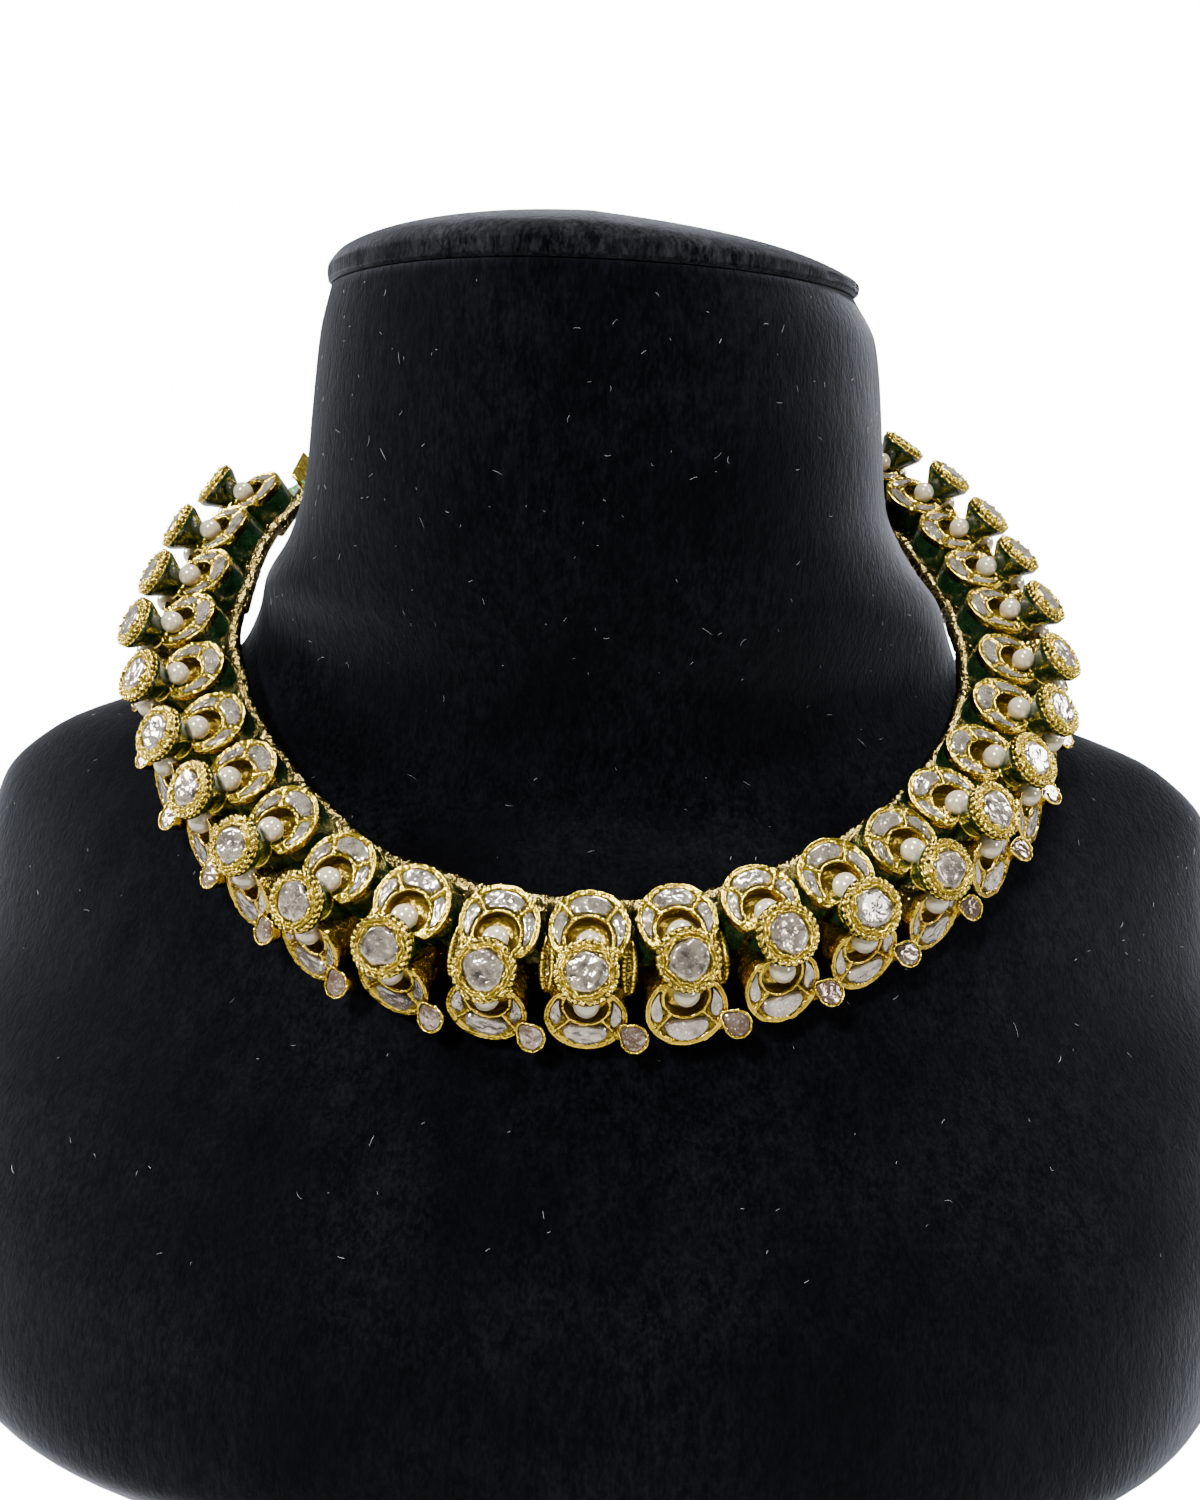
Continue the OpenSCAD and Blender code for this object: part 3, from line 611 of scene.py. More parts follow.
def curve_through(rows, at):
    """Rows read at any height: a smooth curve through them whose slope at a row is that of
    its neighbours, limited so that it never overshoots a row."""
    x, y = rows[:, 0], rows[:, 1:]
    h = np.diff(x)[:, None]
    d = np.diff(y, axis=0) / h
    both, product = d[:-1] + d[1:], d[:-1] * d[1:]
    m = np.zeros_like(y)
    m[1:-1] = np.where(product > 0, 2 * product / np.where(both == 0, 1, both), 0)
    m[0], m[-1] = d[0], d[-1]
    k = np.clip(np.searchsorted(x, at, "right") - 1, 0, len(x) - 2)
    t = ((at - x[k]) / (x[k + 1] - x[k]))[:, None]
    return ((2 * t**3 - 3 * t**2 + 1) * y[k] + (t**3 - 2 * t**2 + t) * h[k] * m[k]
            + (3 * t**2 - 2 * t**3) * y[k + 1] + (t**3 - t**2) * h[k] * m[k + 1])


def section(half, front, back, full, x, a):
    """A section of the bust at angles a: an ellipse whose front and back differ and whose
    corners are filled or drawn in: x = half sin a, y = cos a (1 + full sin^2 a)."""
    y = np.cos(a) * (1 + full * np.sin(a) ** 2)
    return x + half * np.sin(a), LOOP_MID[1] + y * np.where(y < 0, front, back)


def seam_sag(x):
    """How far the seam sinks towards the neck's sides: more to the left than to the right."""
    u = (x + NECK_SHIFT) / (NECK[0] / 2)
    return 2.7 * np.clip(-u, 0, 1.1) ** 2.5 + 1.1 * np.clip(u, 0, 1.1) ** 2.5


def bust_points(share, a):
    """Points of the bust's skin at a height as a share of the form and an angle."""
    wide, front, back, full, aside = curve_through(BUST_ROWS, share).T[..., None]
    wide, front, back = (n + (s - n) * gone for n, s, gone in zip(NECK, SHOULDER, (wide, front, back)))
    x, y = section(wide / 2, front, back, full, aside * NECK_SHIFT, a)
    z = share[:, None] * BUST_H - seam_sag(x) * smooth((share[:, None] - 0.86) / 0.14)
    return np.stack([x, y, z], -1)


def bust_shape():
    """The bust: its sections from the base to the seam, a hem turned in at the base and the
    top turned in at the seam, closed with a flat base and a flat top."""
    share = np.concatenate([np.linspace(0, 0.03, 5)[:-1], np.linspace(0.03, 1, 126)])
    skin = bust_points(share, angles(160))
    drawn_in = lambda ring, k, *middle: (ring - middle) * [k, k, 1] + middle
    hem = drawn_in(skin[:1], 0.97, 0, LOOP_MID[1], 0)
    seam = drawn_in(skin[-1:], 0.985, -NECK_SHIFT, LOOP_MID[1], 0)
    return capped(surface(np.concatenate([hem, skin, seam]), round_columns=True), 160)


def cap_shape():
    """The padded cap: rings from the seam up with a rolled edge, a crown that swells between
    puckers pulled in by the seam, and a soft hollow where the stuffing has settled."""
    a = angles(192)
    rows = np.column_stack([np.linspace(0, 1, len(CAP_ROWS)), CAP_ROWS])
    at, size = curve_through(rows, np.linspace(0, 1, 60)).T[..., None]
    pucker = waves(a, 31, (23, 37, 52), (1, 0.8, 0.6)) * mm("wrinkle") * bell(at - 1.6, 1.3)
    dent = 0.35 * waves(a, 32, (2, 3, 4), (1, 0.7, 0.5)) * smooth((at - 3) / 5)
    r = size * 0.996 + (pucker - 0.25) / 50
    half, front, back = (NECK[0] / 2 + 1) * r, (NECK[1] + 1) * r, (NECK[2] + 1) * r
    x, y = section(half, front, back, 0.0, -NECK_SHIFT, a)
    u = np.clip((x + NECK_SHIFT) / (NECK[0] / 2), 0, 1)
    z = CAP_Z + at + dent * 0.5 - 0.2 * smooth(at / 9.5) - seam_sag(x) - 2.3 * u**0.8 * smooth((at - 1) / 5)
    return capped(surface((x, y, z), round_columns=True), 192)


def lint_shape():
    """Lint: thin bent fibres of three sides that lie just above the velvet, at chance places
    and turns."""
    rng = np.random.default_rng(7)
    count, steps = bpy.context.scene.necklace_sizes.lint, 6
    share = rng.uniform(0.25, 0.99, count)
    a = rng.uniform(0, 2 * np.pi, count)[:, None]
    at = bust_points(share, a)[:, 0]
    up = unit(bust_points(np.minimum(share + 0.004, 1), a)[:, 0] - at)
    side = unit(bust_points(share, a + 0.01)[:, 0] - at)
    out = np.cross(side, up)
    out *= np.sign((out * (at - [0, LOOP_MID[1], 0]) * [1, 1, 0]).sum(1, keepdims=True))
    long = rng.gamma(2.0, 0.36, count)[:, None] + 0.22
    heading = rng.uniform(0, 2 * np.pi, count)[:, None]
    bend = rng.normal(0, 0.8, count)[:, None]
    angle = heading + bend * np.linspace(-0.5, 0.5, steps)
    u, v = (np.cumsum(line * long / steps, 1)[..., None] for line in (np.cos(angle), np.sin(angle)))
    path = at[:, None] + u * side[:, None] + v * up[:, None] + out[:, None] * 0.12
    wire = rng.uniform(0.025, 0.05, count)[:, None] * [0.3, 1, 1, 1, 1, 0.3]
    across = np.cross(out, np.cos(heading) * side + np.sin(heading) * up)[:, None]
    b = angles(3)[:, None]
    ring = np.cos(b) * out[:, None] + np.sin(b) * across
    points = path[:, :, None] + wire[..., None, None] * ring[:, None]
    points, faces, marks = surface(points, round_columns=True)
    ends = np.array([[0, 1, 2], [17, 16, 15]])
    return repeat((points, faces + [ends], marks), np.broadcast_to(np.eye(4), (count, 4, 4)))


# The settings

def reach(s, a, inset=0.0):
    """Distance from a horseshoe's hole to its outer edge at an angle from the crest: to its
    round side, or to the straight end of its arm where that is nearer."""
    c = s["crest"] + s["hole"] / 2 - s["w"] / 2
    r = s["w"] / 2 - inset
    circle = c * np.cos(a) + np.sqrt(r * r - (c * np.sin(a)) ** 2)
    below = s["len"] - s["crest"] - s["hole"] / 2
    line = np.where(np.cos(a) < -0.05, below / np.maximum(-np.cos(a), 0.05), 99.0)
    return np.minimum(circle, line)


def arm_end(s):
    """The angle from the crest where the arm's straight end meets the hole."""
    return math.pi - math.acos((s["len"] - s["crest"] - s["hole"] / 2) / (s["hole"] / 2))


def on_face(s, a, r, z):
    """Points about a horseshoe's hole, in the frame of its crest."""
    return r * np.sin(a), r * np.cos(a) - s["crest"] - s["hole"] / 2, z


def shoe_face(s, seed):
    """The foil face of each horseshoe, as a height over angle and distance from the hole:
    soft ridges along the outer edge, a second line inside it, along the hole and on the walls
    between the stones, flat foil on the arm ends, and a hollow under each stone."""
    last = arm_end(s) - 0.01
    a = np.linspace(-last, last, 108)[:, None]
    t = np.r_[0, 0, np.linspace(0, 1, 22), 1, 1, 1]
    lower = np.r_[1.5, 0.4, np.zeros(22), 0.12, 0.5, 1.1]
    spread = np.r_[-0.02, -0.03, np.linspace(-0.03, 0.05, 22), 0.09, 0.09, 0.07]
    phase = phases(np.random.default_rng(seed), 6)
    hole, edge, high = s["hole"] / 2, reach(s, a), mm("ridge")
    r = hole + t * (edge - hole) + spread
    wob = 0.05 * np.sin(9 * a + phase[0]) + 0.04 * np.sin(17 * a + phase[1])
    from_edge = (1 - t) * (edge - hole) + wob
    from_hole = t * (edge - hole) + 0.6 * wob
    split, end = (math.radians(x) for x in s["split"])
    off = np.minimum(np.abs(np.abs(a) - split), np.abs(np.abs(a) - end)) * r
    off = off + 0.04 * np.sin(6 * r + phase[2])
    arm = smooth((np.abs(a) - end) * r / 0.5)
    rise = np.maximum.reduce([
        bell(from_edge - 0.14, 0.17) * high, bell(from_edge - 0.64, 0.15) * high * 0.85,
        bell(from_hole - 0.2, 0.24) * high * 0.8, bell(off, 0.27) * high * 0.9,
        arm * high * (0.45 + 0.25 * np.sin(5 * a + 3 * r + phase[3])),
    ])
    inside = smooth((from_edge - 0.72) / 0.25) * smooth((from_hole - 0.5) / 0.25)
    inside = inside * smooth((off - 0.25) / 0.2) * (1 - arm)
    z = 0.03 + rise - 0.5 * inside - lower + 0.02 * np.sin(23 * a + 7 * r + phase[4])
    # marks: painted shade between the foil ridges, and a lighter shade on the edge rows that turn down
    hollow = np.where(lower > 0.3, 0.35, np.clip(1.05 - rise / (high * 0.75), 0, 1))
    return surface(on_face(s, a, r, z), hollow)


def stone_height(rho, b, phase, tilt, table):
    """A flat stone's height: a table that tilts a little, a ring of uneven facets down to the
    girdle as the lowest of several slopes, and faint waves left by the hand cut."""
    facets = np.minimum.reduce([
        0.9 - rho * (0.78 + 0.14 * np.cos(3 * phase + k)) * np.cos(b - k * 0.9 - phase) for k in range(7)
    ])
    z = np.minimum(facets * 0.75, 0.22 + 0.04 * np.cos(4 * b + phase) * rho)
    z = z + tilt[0] * rho * np.cos(b) + tilt[1] * rho * np.sin(b) + 0.02 * np.sin(9 * rho + 3 * b + phase)
    return z - 0.22 + table - 0.5 * smooth((rho - 0.86) / 0.14)


def disc(rings, around):
    """Rings and angles of a unit disc, without its middle."""
    return np.linspace(0, 1, rings + 1)[1:, None], angles(around)


def cut_stone(points, rho, tone, to_left):
    """A stone for each link from its rings over rho, closed with a fan to their middle, with
    the marks tone(rho). to_left is True where the rings run to the left, seen from outside."""
    points, faces, _ = surface(points, flip=not to_left, round_columns=True)
    around = points.shape[1] // len(rho)
    points = np.concatenate([points, points[:, :around].mean(1, keepdims=True)], 1)
    ring = np.arange(around)[::1 if to_left else -1]
    return points, faces + [fan(ring, points.shape[1] - 1)], tone(np.append(np.repeat(rho, around), 0))


def shoe_stones(s, seed, side_round, crest_round):
    """The three stones of each horseshoe: each a unit disc squared off by a superellipse, laid
    between two walls and between the hole's wall and the rim, with a tone of its own."""
    rng = np.random.default_rng(seed)
    split, end = (math.radians(x) for x in s["split"])
    rho, b = disc(8, 32)
    inner = s["hole"] / 2 + WALL + 0.08
    shapes = []
    edge = lambda rho: smooth((rho - 0.72) / 0.28)
    for low, high, power in (
        (-split, split, crest_round), (-end, -split, side_round), (split, end, side_round),
    ):
        f = (np.abs(np.cos(b)) ** power + np.abs(np.sin(b)) ** power) ** (-1 / power)
        p, q = rho * np.cos(b) * f, rho * np.sin(b) * f
        mid, half = (low + high) / 2, (high - low) / 2
        r = inner + (reach(s, mid + p * half, RIM) - 0.08 - inner) * (q + 1) / 2
        a = mid + p * (half - np.arcsin((WALL / 2 + 0.06) / r))
        phase = rng.uniform(0, 6.283, (COUNT, 1, 1))
        tilt = rng.normal(0, 0.05, (2, COUNT, 1, 1))
        z = stone_height(rho, b, phase, tilt, mm("stone"))
        own = rng.uniform(0.1, 1, COUNT)[:, None]
        # the tone passes 1 towards the girdle, which the foil paints as a shadow line round the stone
        tone = lambda rho: own * (1 - edge(rho)) + 1.9 * edge(rho)
        shapes.append(cut_stone(on_face(s, a, r, z), rho, tone, True))
    return shapes


def hole_lining(s):
    """The lining of a pearl's hole: a skin just inside its wall and over its floor, as a
    profile carried round the part of the hole that is walled."""
    last, hole, floor = arm_end(s) - 0.05, s["hole"] / 2 - 0.04, 0.05 - HOLE_DEEP
    a = np.linspace(-last, last, 40)[:, None]
    r = np.array([hole, hole, hole, s["hole"] / 4, 0.6])
    z = np.array([-0.6, -1.8, floor, floor, floor])
    z = z + 0.06 * np.sin(11 * a + 5 * z) * (z > floor + 0.05)
    # marks: painted shade that deepens down the wall and is darkest where it meets the floor
    return surface(on_face(s, a, r, z), [0.3, 0.55, 0.85, 0.8, 0.7], flip=True)


def wall_enamel():
    """Enamel on the upper horseshoe's outer wall: a skin just outside it from under the gold
    rim down to the back plate, whose lower edge is where the wall meets the plate's plane."""
    corner = math.atan2(4.2, -(UPPER["len"] - UPPER["crest"] - UPPER["hole"] / 2))
    a = np.linspace(-corner, corner, 80)[:, None]
    t = np.linspace(0, 1, 9)
    r = reach(UPPER, a) + 0.05
    tilt = math.radians(UPPER_TILT)
    _, y, _ = on_face(UPPER, a, r, 0)
    bottom = (PLATE_TOP - 1.4 + y * math.sin(tilt)) / math.cos(tilt)
    return surface(on_face(UPPER, a, r + 0.03 * np.sin(20 * a + 9 * t), -1.15 + (bottom + 1.2) * t))


def crown_foil():
    """The ragged foil round a raised stone: over angle and distance from the middle, a lip
    that hugs the stone, two ridges that wander, break off and are cut across, and the
    grooves between them, falling from the lip to the rope rim."""
    a, r = angles(108)[:, None], np.linspace(2.85, 4.1, 15)
    phase = phases(np.random.default_rng(21), 10)
    wander = sum(
        k * np.sin(n * a + own) for k, n, own in zip((0.12, 0.1, 0.06), (5, 9, 14), phase))
    rise = 0
    for k, (at, wide, high, sway) in enumerate(((3.36, 0.17, 0.85, 1.2), (3.86, 0.12, 0.6, 0.9))):
        broken = 0.68 + 0.32 * np.sin((9 + 3 * k) * a + phase[3 + k])
        cuts = 1 - 0.4 * np.abs(np.sin((12 + 3 * k) * a + 2.2 * r + phase[6])) ** 3
        rise = np.maximum(rise, high * broken * cuts * bell(r - at - sway * wander, wide))
    lip = smooth((3.08 + 0.6 * wander - r) / 0.18)
    z = CROWN_Z - 0.05 + 0.25 * (1 - (r - 2.6) / 1.6) + rise - 0.5 * lip
    # marks: painted shade in the grooves between the ridges and down the lip
    hollow = np.clip(1.25 - rise / 0.36, 0, 1)
    return surface((r * np.sin(a), r * np.cos(a), z), hollow, round_rows=True)


def crown_stone():
    """A raised stone: nearly round, with an uneven outline, a table and a ring of facets."""
    rho, b = disc(10, 40)
    rng = np.random.default_rng(5)
    phase = phases(rng, 4)
    tilt = rng.normal(0, 0.06, (2, COUNT, 1, 1))
    r = rho * (3.12 + 0.15 * np.sin(2 * b + phase[0]) + 0.11 * np.sin(3 * b + phase[1])
               + 0.09 * np.sin(5 * b + phase[3]) + 0.06 * np.sin(6 * b + phase[2]))
    z = CROWN_Z + 0.28 + stone_height(rho, b, phase[2], tilt, 0.3)
    dark = (rng.uniform(0.1, 0.65, COUNT) + 0.35 * (np.arange(COUNT) > 9))[:, None]
    # a dark middle of chance depth, and a tone past 1 at the edge that the foil paints as a shadow line
    tone = lambda rho: (1 - smooth((rho - 0.2) / 0.5)) * dark + 1.8 * smooth((rho - 0.88) / 0.12)
    return cut_stone((r * np.sin(b), r * np.cos(b), z), rho, tone, False)


def pearl_shape(seed):
    """A pearl: a sphere whose radius swells a little by low waves."""
    a, b = angles(32), np.linspace(-np.pi / 2, np.pi / 2, 17)[1:-1, None]
    phase = phases(np.random.default_rng(seed), 2)
    r = PEARL_R * (1 + 0.02 * np.sin(2 * a + phase[0]) * np.cos(b) + 0.018 * np.sin(2 * b + phase[1]))
    points = (r * np.cos(b) * np.cos(a), r * np.cos(b) * np.sin(a), r * np.sin(b))
    rings = surface(points, flip=True, round_columns=True)
    return capped(rings, 32, [[0, 0, -PEARL_R], [0, 0, PEARL_R]], flip=True)


RIB_X = (room(1.85, 0) - 0.5) / 2
RIB_SIDES = [(i, side) for i in range(COUNT) for side in (-1, 1) if (side < 0) == (i <= LEFT) or i == LEFT]


def rib_ridges():
    """The two ridges of each rib: beaded wires that bow apart along the edges of the rib's
    lens and taper to its ends. A bead's radius is the wire's times the sine of its place."""
    t = np.linspace(-1, 1, 61)
    gap = 1 - np.abs(np.sin(np.pi * 6.5 * (t + 1)))[:, None] ** 0.7
    wire = 0.24 + 1.15 * mm("granule") * np.sqrt(np.clip(1 - t * t, 0, 1))
    shapes = []
    for i, side in RIB_SIDES:
        for way in (-1, 1):
            x = side * RIB_X + way * (0.62 * (1 - t * t) + 0.2)
            path = np.stack([x, 4.3 * t, 1.9 - 1.5 * t**6], 1)
            # marks: painted shade in the necks between the beads, and on the ends
            ridge = rod(path, wire, 8, -0.32 * wire[:, None] * gap, 0.9 * gap, 0.5)
            shapes.append(repeat(ridge, LINKS[i:i + 1]))
    return joined(shapes)


def rib_granules():
    """Rows of granules down the flanks of each rib, smaller towards its tapered ends."""
    t = np.linspace(-1, 1, 13)
    full = 1 - t * t
    local = np.concatenate([
        np.stack([dx * (0.8 * full + 0.16), 3.4 * t, z - 0.3 * t * t, (0.6 + 0.4 * full) * k], 1)
        for dx, z, k in ((0.98, 1.1, 0.95), (-0.98, 1.1, 0.95), (1.05, 0.45, 0.85), (-1.05, 0.45, 0.85))
    ])
    rng = np.random.default_rng(11)
    centres, radii = [], []
    for i, side in RIB_SIDES:
        p = local[:, :3] + [side * RIB_X, 0, 0] + rng.normal(0, 0.03, (len(local), 3))
        centres.append(carried(LINKS[i], p))
        radii.append(local[:, 3] * 0.3 * rng.uniform(0.88, 1.1, len(local)))
    return granules(np.concatenate(centres), np.concatenate(radii))


def scallop():
    """The bead along the scalloped edge of a back plate: an arc about the plate's own
    centre, as far as the link's share of the loop."""
    a = np.linspace(-math.radians(51), math.radians(51), 40)
    r = SCALLOP_R + 0.05
    path = np.stack([r * np.sin(a), SCALLOP_Y + r * np.cos(a), np.full(40, PLATE_TOP + 0.1)], 1)
    return rod(path, 0.34, 8)


def rail_band():
    """The hammered rail: one band through the middles and the joints of all the links' rails,
    a smooth curve through them of the third power. Its radius is dented by crossed waves, and
    it is nicked where two links meet."""
    left, middle, right = (carried(LINKS, [[x, 8.6, PLATE + 0.3]])[:, 0] for x in (-5.6, 0, 5.6))
    joints = np.concatenate([(right[:-1] + left[1:]) / 2, right[-1:]])
    knots = np.concatenate([left[:1], np.stack([middle, joints], 1).reshape(-1, 3)])
    padded = np.concatenate([[2 * knots[0] - knots[1]], knots, [2 * knots[-1] - knots[-2]]])
    t = np.linspace(0, 1, 11)[:-1, None]
    p = [padded[k:len(padded) - 3 + k, None] for k in range(4)]
    path = 0.5 * (2 * p[1] + (p[2] - p[0]) * t + (2 * p[0] - 5 * p[1] + 4 * p[2] - p[3]) * t**2
                  + (3 * p[1] - p[0] - 3 * p[2] + p[3]) * t**3)
    path = np.concatenate([path.reshape(-1, 3), knots[-1:]])
    s = np.append(0, np.cumsum(np.linalg.norm(np.diff(path, axis=0), axis=1)))[:, None]
    b = angles(16)
    dents = (0.07 * np.sin(6.1 * s + 3 * b) + 0.06 * np.sin(9.3 * s - 5 * b)
             + 0.05 * np.sin(3.1 * s + 2 * b + 2 * np.sin(1.7 * s)))
    nick = bell(s - s[20::20, 0], 0.22).max(1, keepdims=True)
    # marks: painted shade in the nicks between links and in the deeper dents, and on the ends
    marks = np.clip(0.9 * nick + np.clip(-3.5 * dents, 0, 0.6), 0, 1)
    return rod(path, 1.5, 16, dents - 0.35 * nick, marks, 0.5)


def cusps():
    """The gold that fills each corner between a scallop and the rail: a slab between the
    scallop's arc and the nearer of the rail and the link's edge, with a pebbled top."""
    a = np.linspace(math.radians(20), math.radians(50.5), 12)[:, None]
    v = np.linspace(0, 1, 9)
    far = np.minimum(SCALLOP_R / np.cos(a), 5.7 / np.sin(a))
    r = SCALLOP_R + (far - SCALLOP_R) * v
    top = PLATE_TOP + 0.1 + 0.16 * np.sin(np.pi * v) + 0.07 * np.sin(26 * a) * np.sin(6 * r)
    sheet = np.stack([r * np.sin(a), SCALLOP_Y + r * np.cos(a), top], -1)
    under = sheet[:, ::-4].copy()
    under[..., 2] = PLATE + 0.1
    points, faces, marks = surface(np.concatenate([sheet, under], 1), round_columns=True)
    ends = [np.arange(12)[None], np.arange(len(points) - 12, len(points))[None, ::-1]]
    one = (points, faces + ends, marks)
    return joined([one, mirrored(one)])


def recess():
    """Dark enamel on the plate round each horseshoe: a ring sheet about the plate's scallop."""
    a = np.linspace(-math.radians(80), math.radians(80), 40)[:, None]
    far = np.minimum(7.15, 5.66 / np.maximum(np.abs(np.sin(a)), 0.1))
    r = 4.4 + (far - 4.4) * np.linspace(0, 1, 5)
    return surface((r * np.sin(a), SCALLOP_Y + r * np.cos(a), PLATE_TOP + 0.05))


DROP_Y, DROP_Z = 2.3 - 12.5, 2.8
DROPS_AT = LINKS @ shift(room(DROP_Y, DROP_Z) / 2, DROP_Y, DROP_Z)
# Radius, height and mark along a drop collet's wall, from its foot over its rim; the mark is painted shade,
# darkest on the foot and inside the rim
DROP_WALL = np.array([
    (0.25, -3.0, 0.7), (1.35, -3.02, 0.6), (1.72, -1.6, 0.5), (2.08, -0.3, 0.3), (2.2, 0.0, 0.1),
    (2.17, 0.24, 0.0), (2.06, 0.34, 0.0), (1.94, 0.28, 0.2), (1.86, 0.08, 0.8), (1.8, -0.3, 1.0),
]).T


def drawn(b):
    """How far a drop is drawn out to its point at an angle."""
    return 1 + 0.4 * bell(b - 2.5, 0.42)


def drop_cup():
    """The small drop collet at the right of a lower horseshoe: a thin cup drawn out to a
    point towards its horseshoe, whose rim rolls over its stone."""
    a = angles(40)[:, None]
    ragged = 0.03 * np.sin(9 * a) + 0.02 * np.sin(14 * a + 1)
    radius, height, hollow = DROP_WALL
    r = radius * np.where(height > -2, drawn(a), 1) + ragged
    return surface((r * np.cos(a), r * np.sin(a), height + ragged), hollow, round_rows=True)


def drop_stone():
    """The faceted stone of a drop, drawn out as its cup is."""
    rho, b = disc(7, 28)
    rng = np.random.default_rng(15)
    phase = rng.uniform(0, 6.283, (COUNT, 1, 1))
    z = stone_height(rho, b, phase, rng.normal(0, 0.05, (2, COUNT, 1, 1)), 0.22)
    r = 1.9 * rho * drawn((np.pi / 2 - b) % (2 * np.pi)) * (1 + 0.03 * np.sin(3 * b + phase))
    own = rng.uniform(0.2, 1, COUNT)[:, None]
    return cut_stone((r * np.sin(b), r * np.cos(b), z), rho, lambda rho: own + 0 * rho, False)


# The ends, the chain and the clasp

EYE_N = 1.2 + PLATE
CHAIN_R = LOOP_R + EYE_N * math.cos(math.radians(FACE))
CHAIN_Z = EYE_N * math.sin(math.radians(FACE))
END_LEN, END_H, END_T = 11.5, 17.0, 2.4
END_TOP = PLATE + END_T
END_X = 1.7 - room(END_H / 2, EYE_N) / 2


def turn_of(length):
    """The angle round the loop, in degrees, that a length of chain takes."""
    return math.degrees(length / CHAIN_R)


END_TURN = turn_of(END_LEN + END_X + 0.3)
CHAIN_FROM = (COUNT - LEFT) * STEP + END_TURN
CHAIN_TO = 360 - (LEFT + 1) * STEP - END_TURN
CLASP_AT = (CHAIN_FROM + CHAIN_TO) / 2
CLASP_TURN = turn_of(11 / 2 + 0.3)
ENDS = ((0, -1), (COUNT - 1, 1))


def on_chain(degrees):
    """The matrix of a place on the chain's line, at an angle round the loop."""
    return ON_LOOP @ turn("z", degrees) @ shift(0, -CHAIN_R, CHAIN_Z)


def end_place(i, side):
    """The matrix of the end piece beside the first or the last link."""
    return place(i, side) @ turn("x", -SWING[i]) @ shift(x=side * END_X)


def at_ends(shape):
    """A shape of the right end piece, on both end pieces."""
    return joined([
        repeat(shape if side > 0 else mirrored(shape), end_place(i, side)[None]) for i, side in ENDS
    ])


def end_panel():
    """Enamel on an end piece: a cushion over its tapered face, whose height falls towards the
    eye and to nothing at the edges, with flowing waves."""
    s, t = np.linspace(0, 1, 30)[:, None], np.linspace(-1, 1, 30)
    half = (END_H / 2 - 0.9) * (1 - s) + 1.3 * s
    edge = smooth(s * 8) * smooth((1 - s) * 8) * smooth((1 - np.abs(t)) * 5)
    z = END_TOP + 0.02 + edge * (0.3 + 2.4 * (1 - s) * (1 - 0.5 * t * t) + 0.2 * np.sin(15 * s + 7 * t))
    return surface((0.7 + s * 7.2, half * t, z))


def end_flap():
    """The gold flap that stands on an end piece: an upright sheet with a rounded top, along a
    line from the link to the eye, that rises towards the eye and is dented by waves."""
    s = np.linspace(0, 1, 24)[:, None]
    level = np.array([0.0, 0.5, 0.94, 1.0, 1.0, 0.94, 0.5, 0.0])
    across = np.array([-0.35, -0.35, -0.35, -0.12, 0.12, 0.35, 0.35, 0.35])
    across = across + 0.08 * np.sin(9 * s + 5 * level) * np.sin(np.pi * level)
    low, top = END_TOP - 0.1, 1.5 + 2.9 * s
    wall = (0.4 + 8.6 * s + across * 0.42, 6.0 - 4.0 * s + across * 0.9, low + (top - low) * level)
    points, faces, marks = surface(wall, 0.15, round_columns=True)
    return points, faces + [np.arange(8)[None], np.arange(184, 192)[None, ::-1]], marks


def end_beads():
    """The beads round each end piece's face and round its eye."""
    eye = END_LEN - 2.5
    x = np.array([0.35, 0.35, eye - 0.9, eye - 0.9])
    corner = np.stack([x, [0.3 - END_H / 2, END_H / 2 - 0.3, 2.25, -2.25]], 1)
    path = []
    for p, q in zip(corner, np.roll(corner, -1, 0)):
        n = max(3, int(np.linalg.norm(q - p) / 0.62))
        path.append(p + (q - p) * (np.arange(n) / n)[:, None])
    a = angles(22)
    ring = np.stack([eye + 2.05 * np.cos(a), 2.05 * np.sin(a)], 1)
    path = np.concatenate([*path, ring[np.abs(a - np.pi) > 0.9]])
    path = np.column_stack([path, np.full(len(path), END_TOP + 0.05)])
    centres = [carried(end_place(i, side), path * [side, 1, 1]) for i, side in ENDS]
    return granules(np.concatenate(centres), 0.36)


def chain_shape(start, stop):
    """A chain of oval rings from one angle to another: each ring a wire carried round a long
    oval, turned a quarter from its neighbour about the chain's line."""
    count = int(round(math.radians(stop - start) * CHAIN_R / 2.75))
    pitch = (stop - start) / count
    a, b = angles(16)[:, None], angles(6)
    wire = mm("chain_wire")
    r = 1.12 + wire * np.cos(b)
    oval = (np.sign(np.cos(a)) * 0.75 + r * np.cos(a), r * np.sin(a), wire * np.sin(b))
    places = [on_chain(start + (k + 0.5) * pitch) @ turn("x", 45 + 90 * (k % 2)) for k in range(count)]
    return repeat(surface(oval, round_rows=True, round_columns=True), np.array(places))


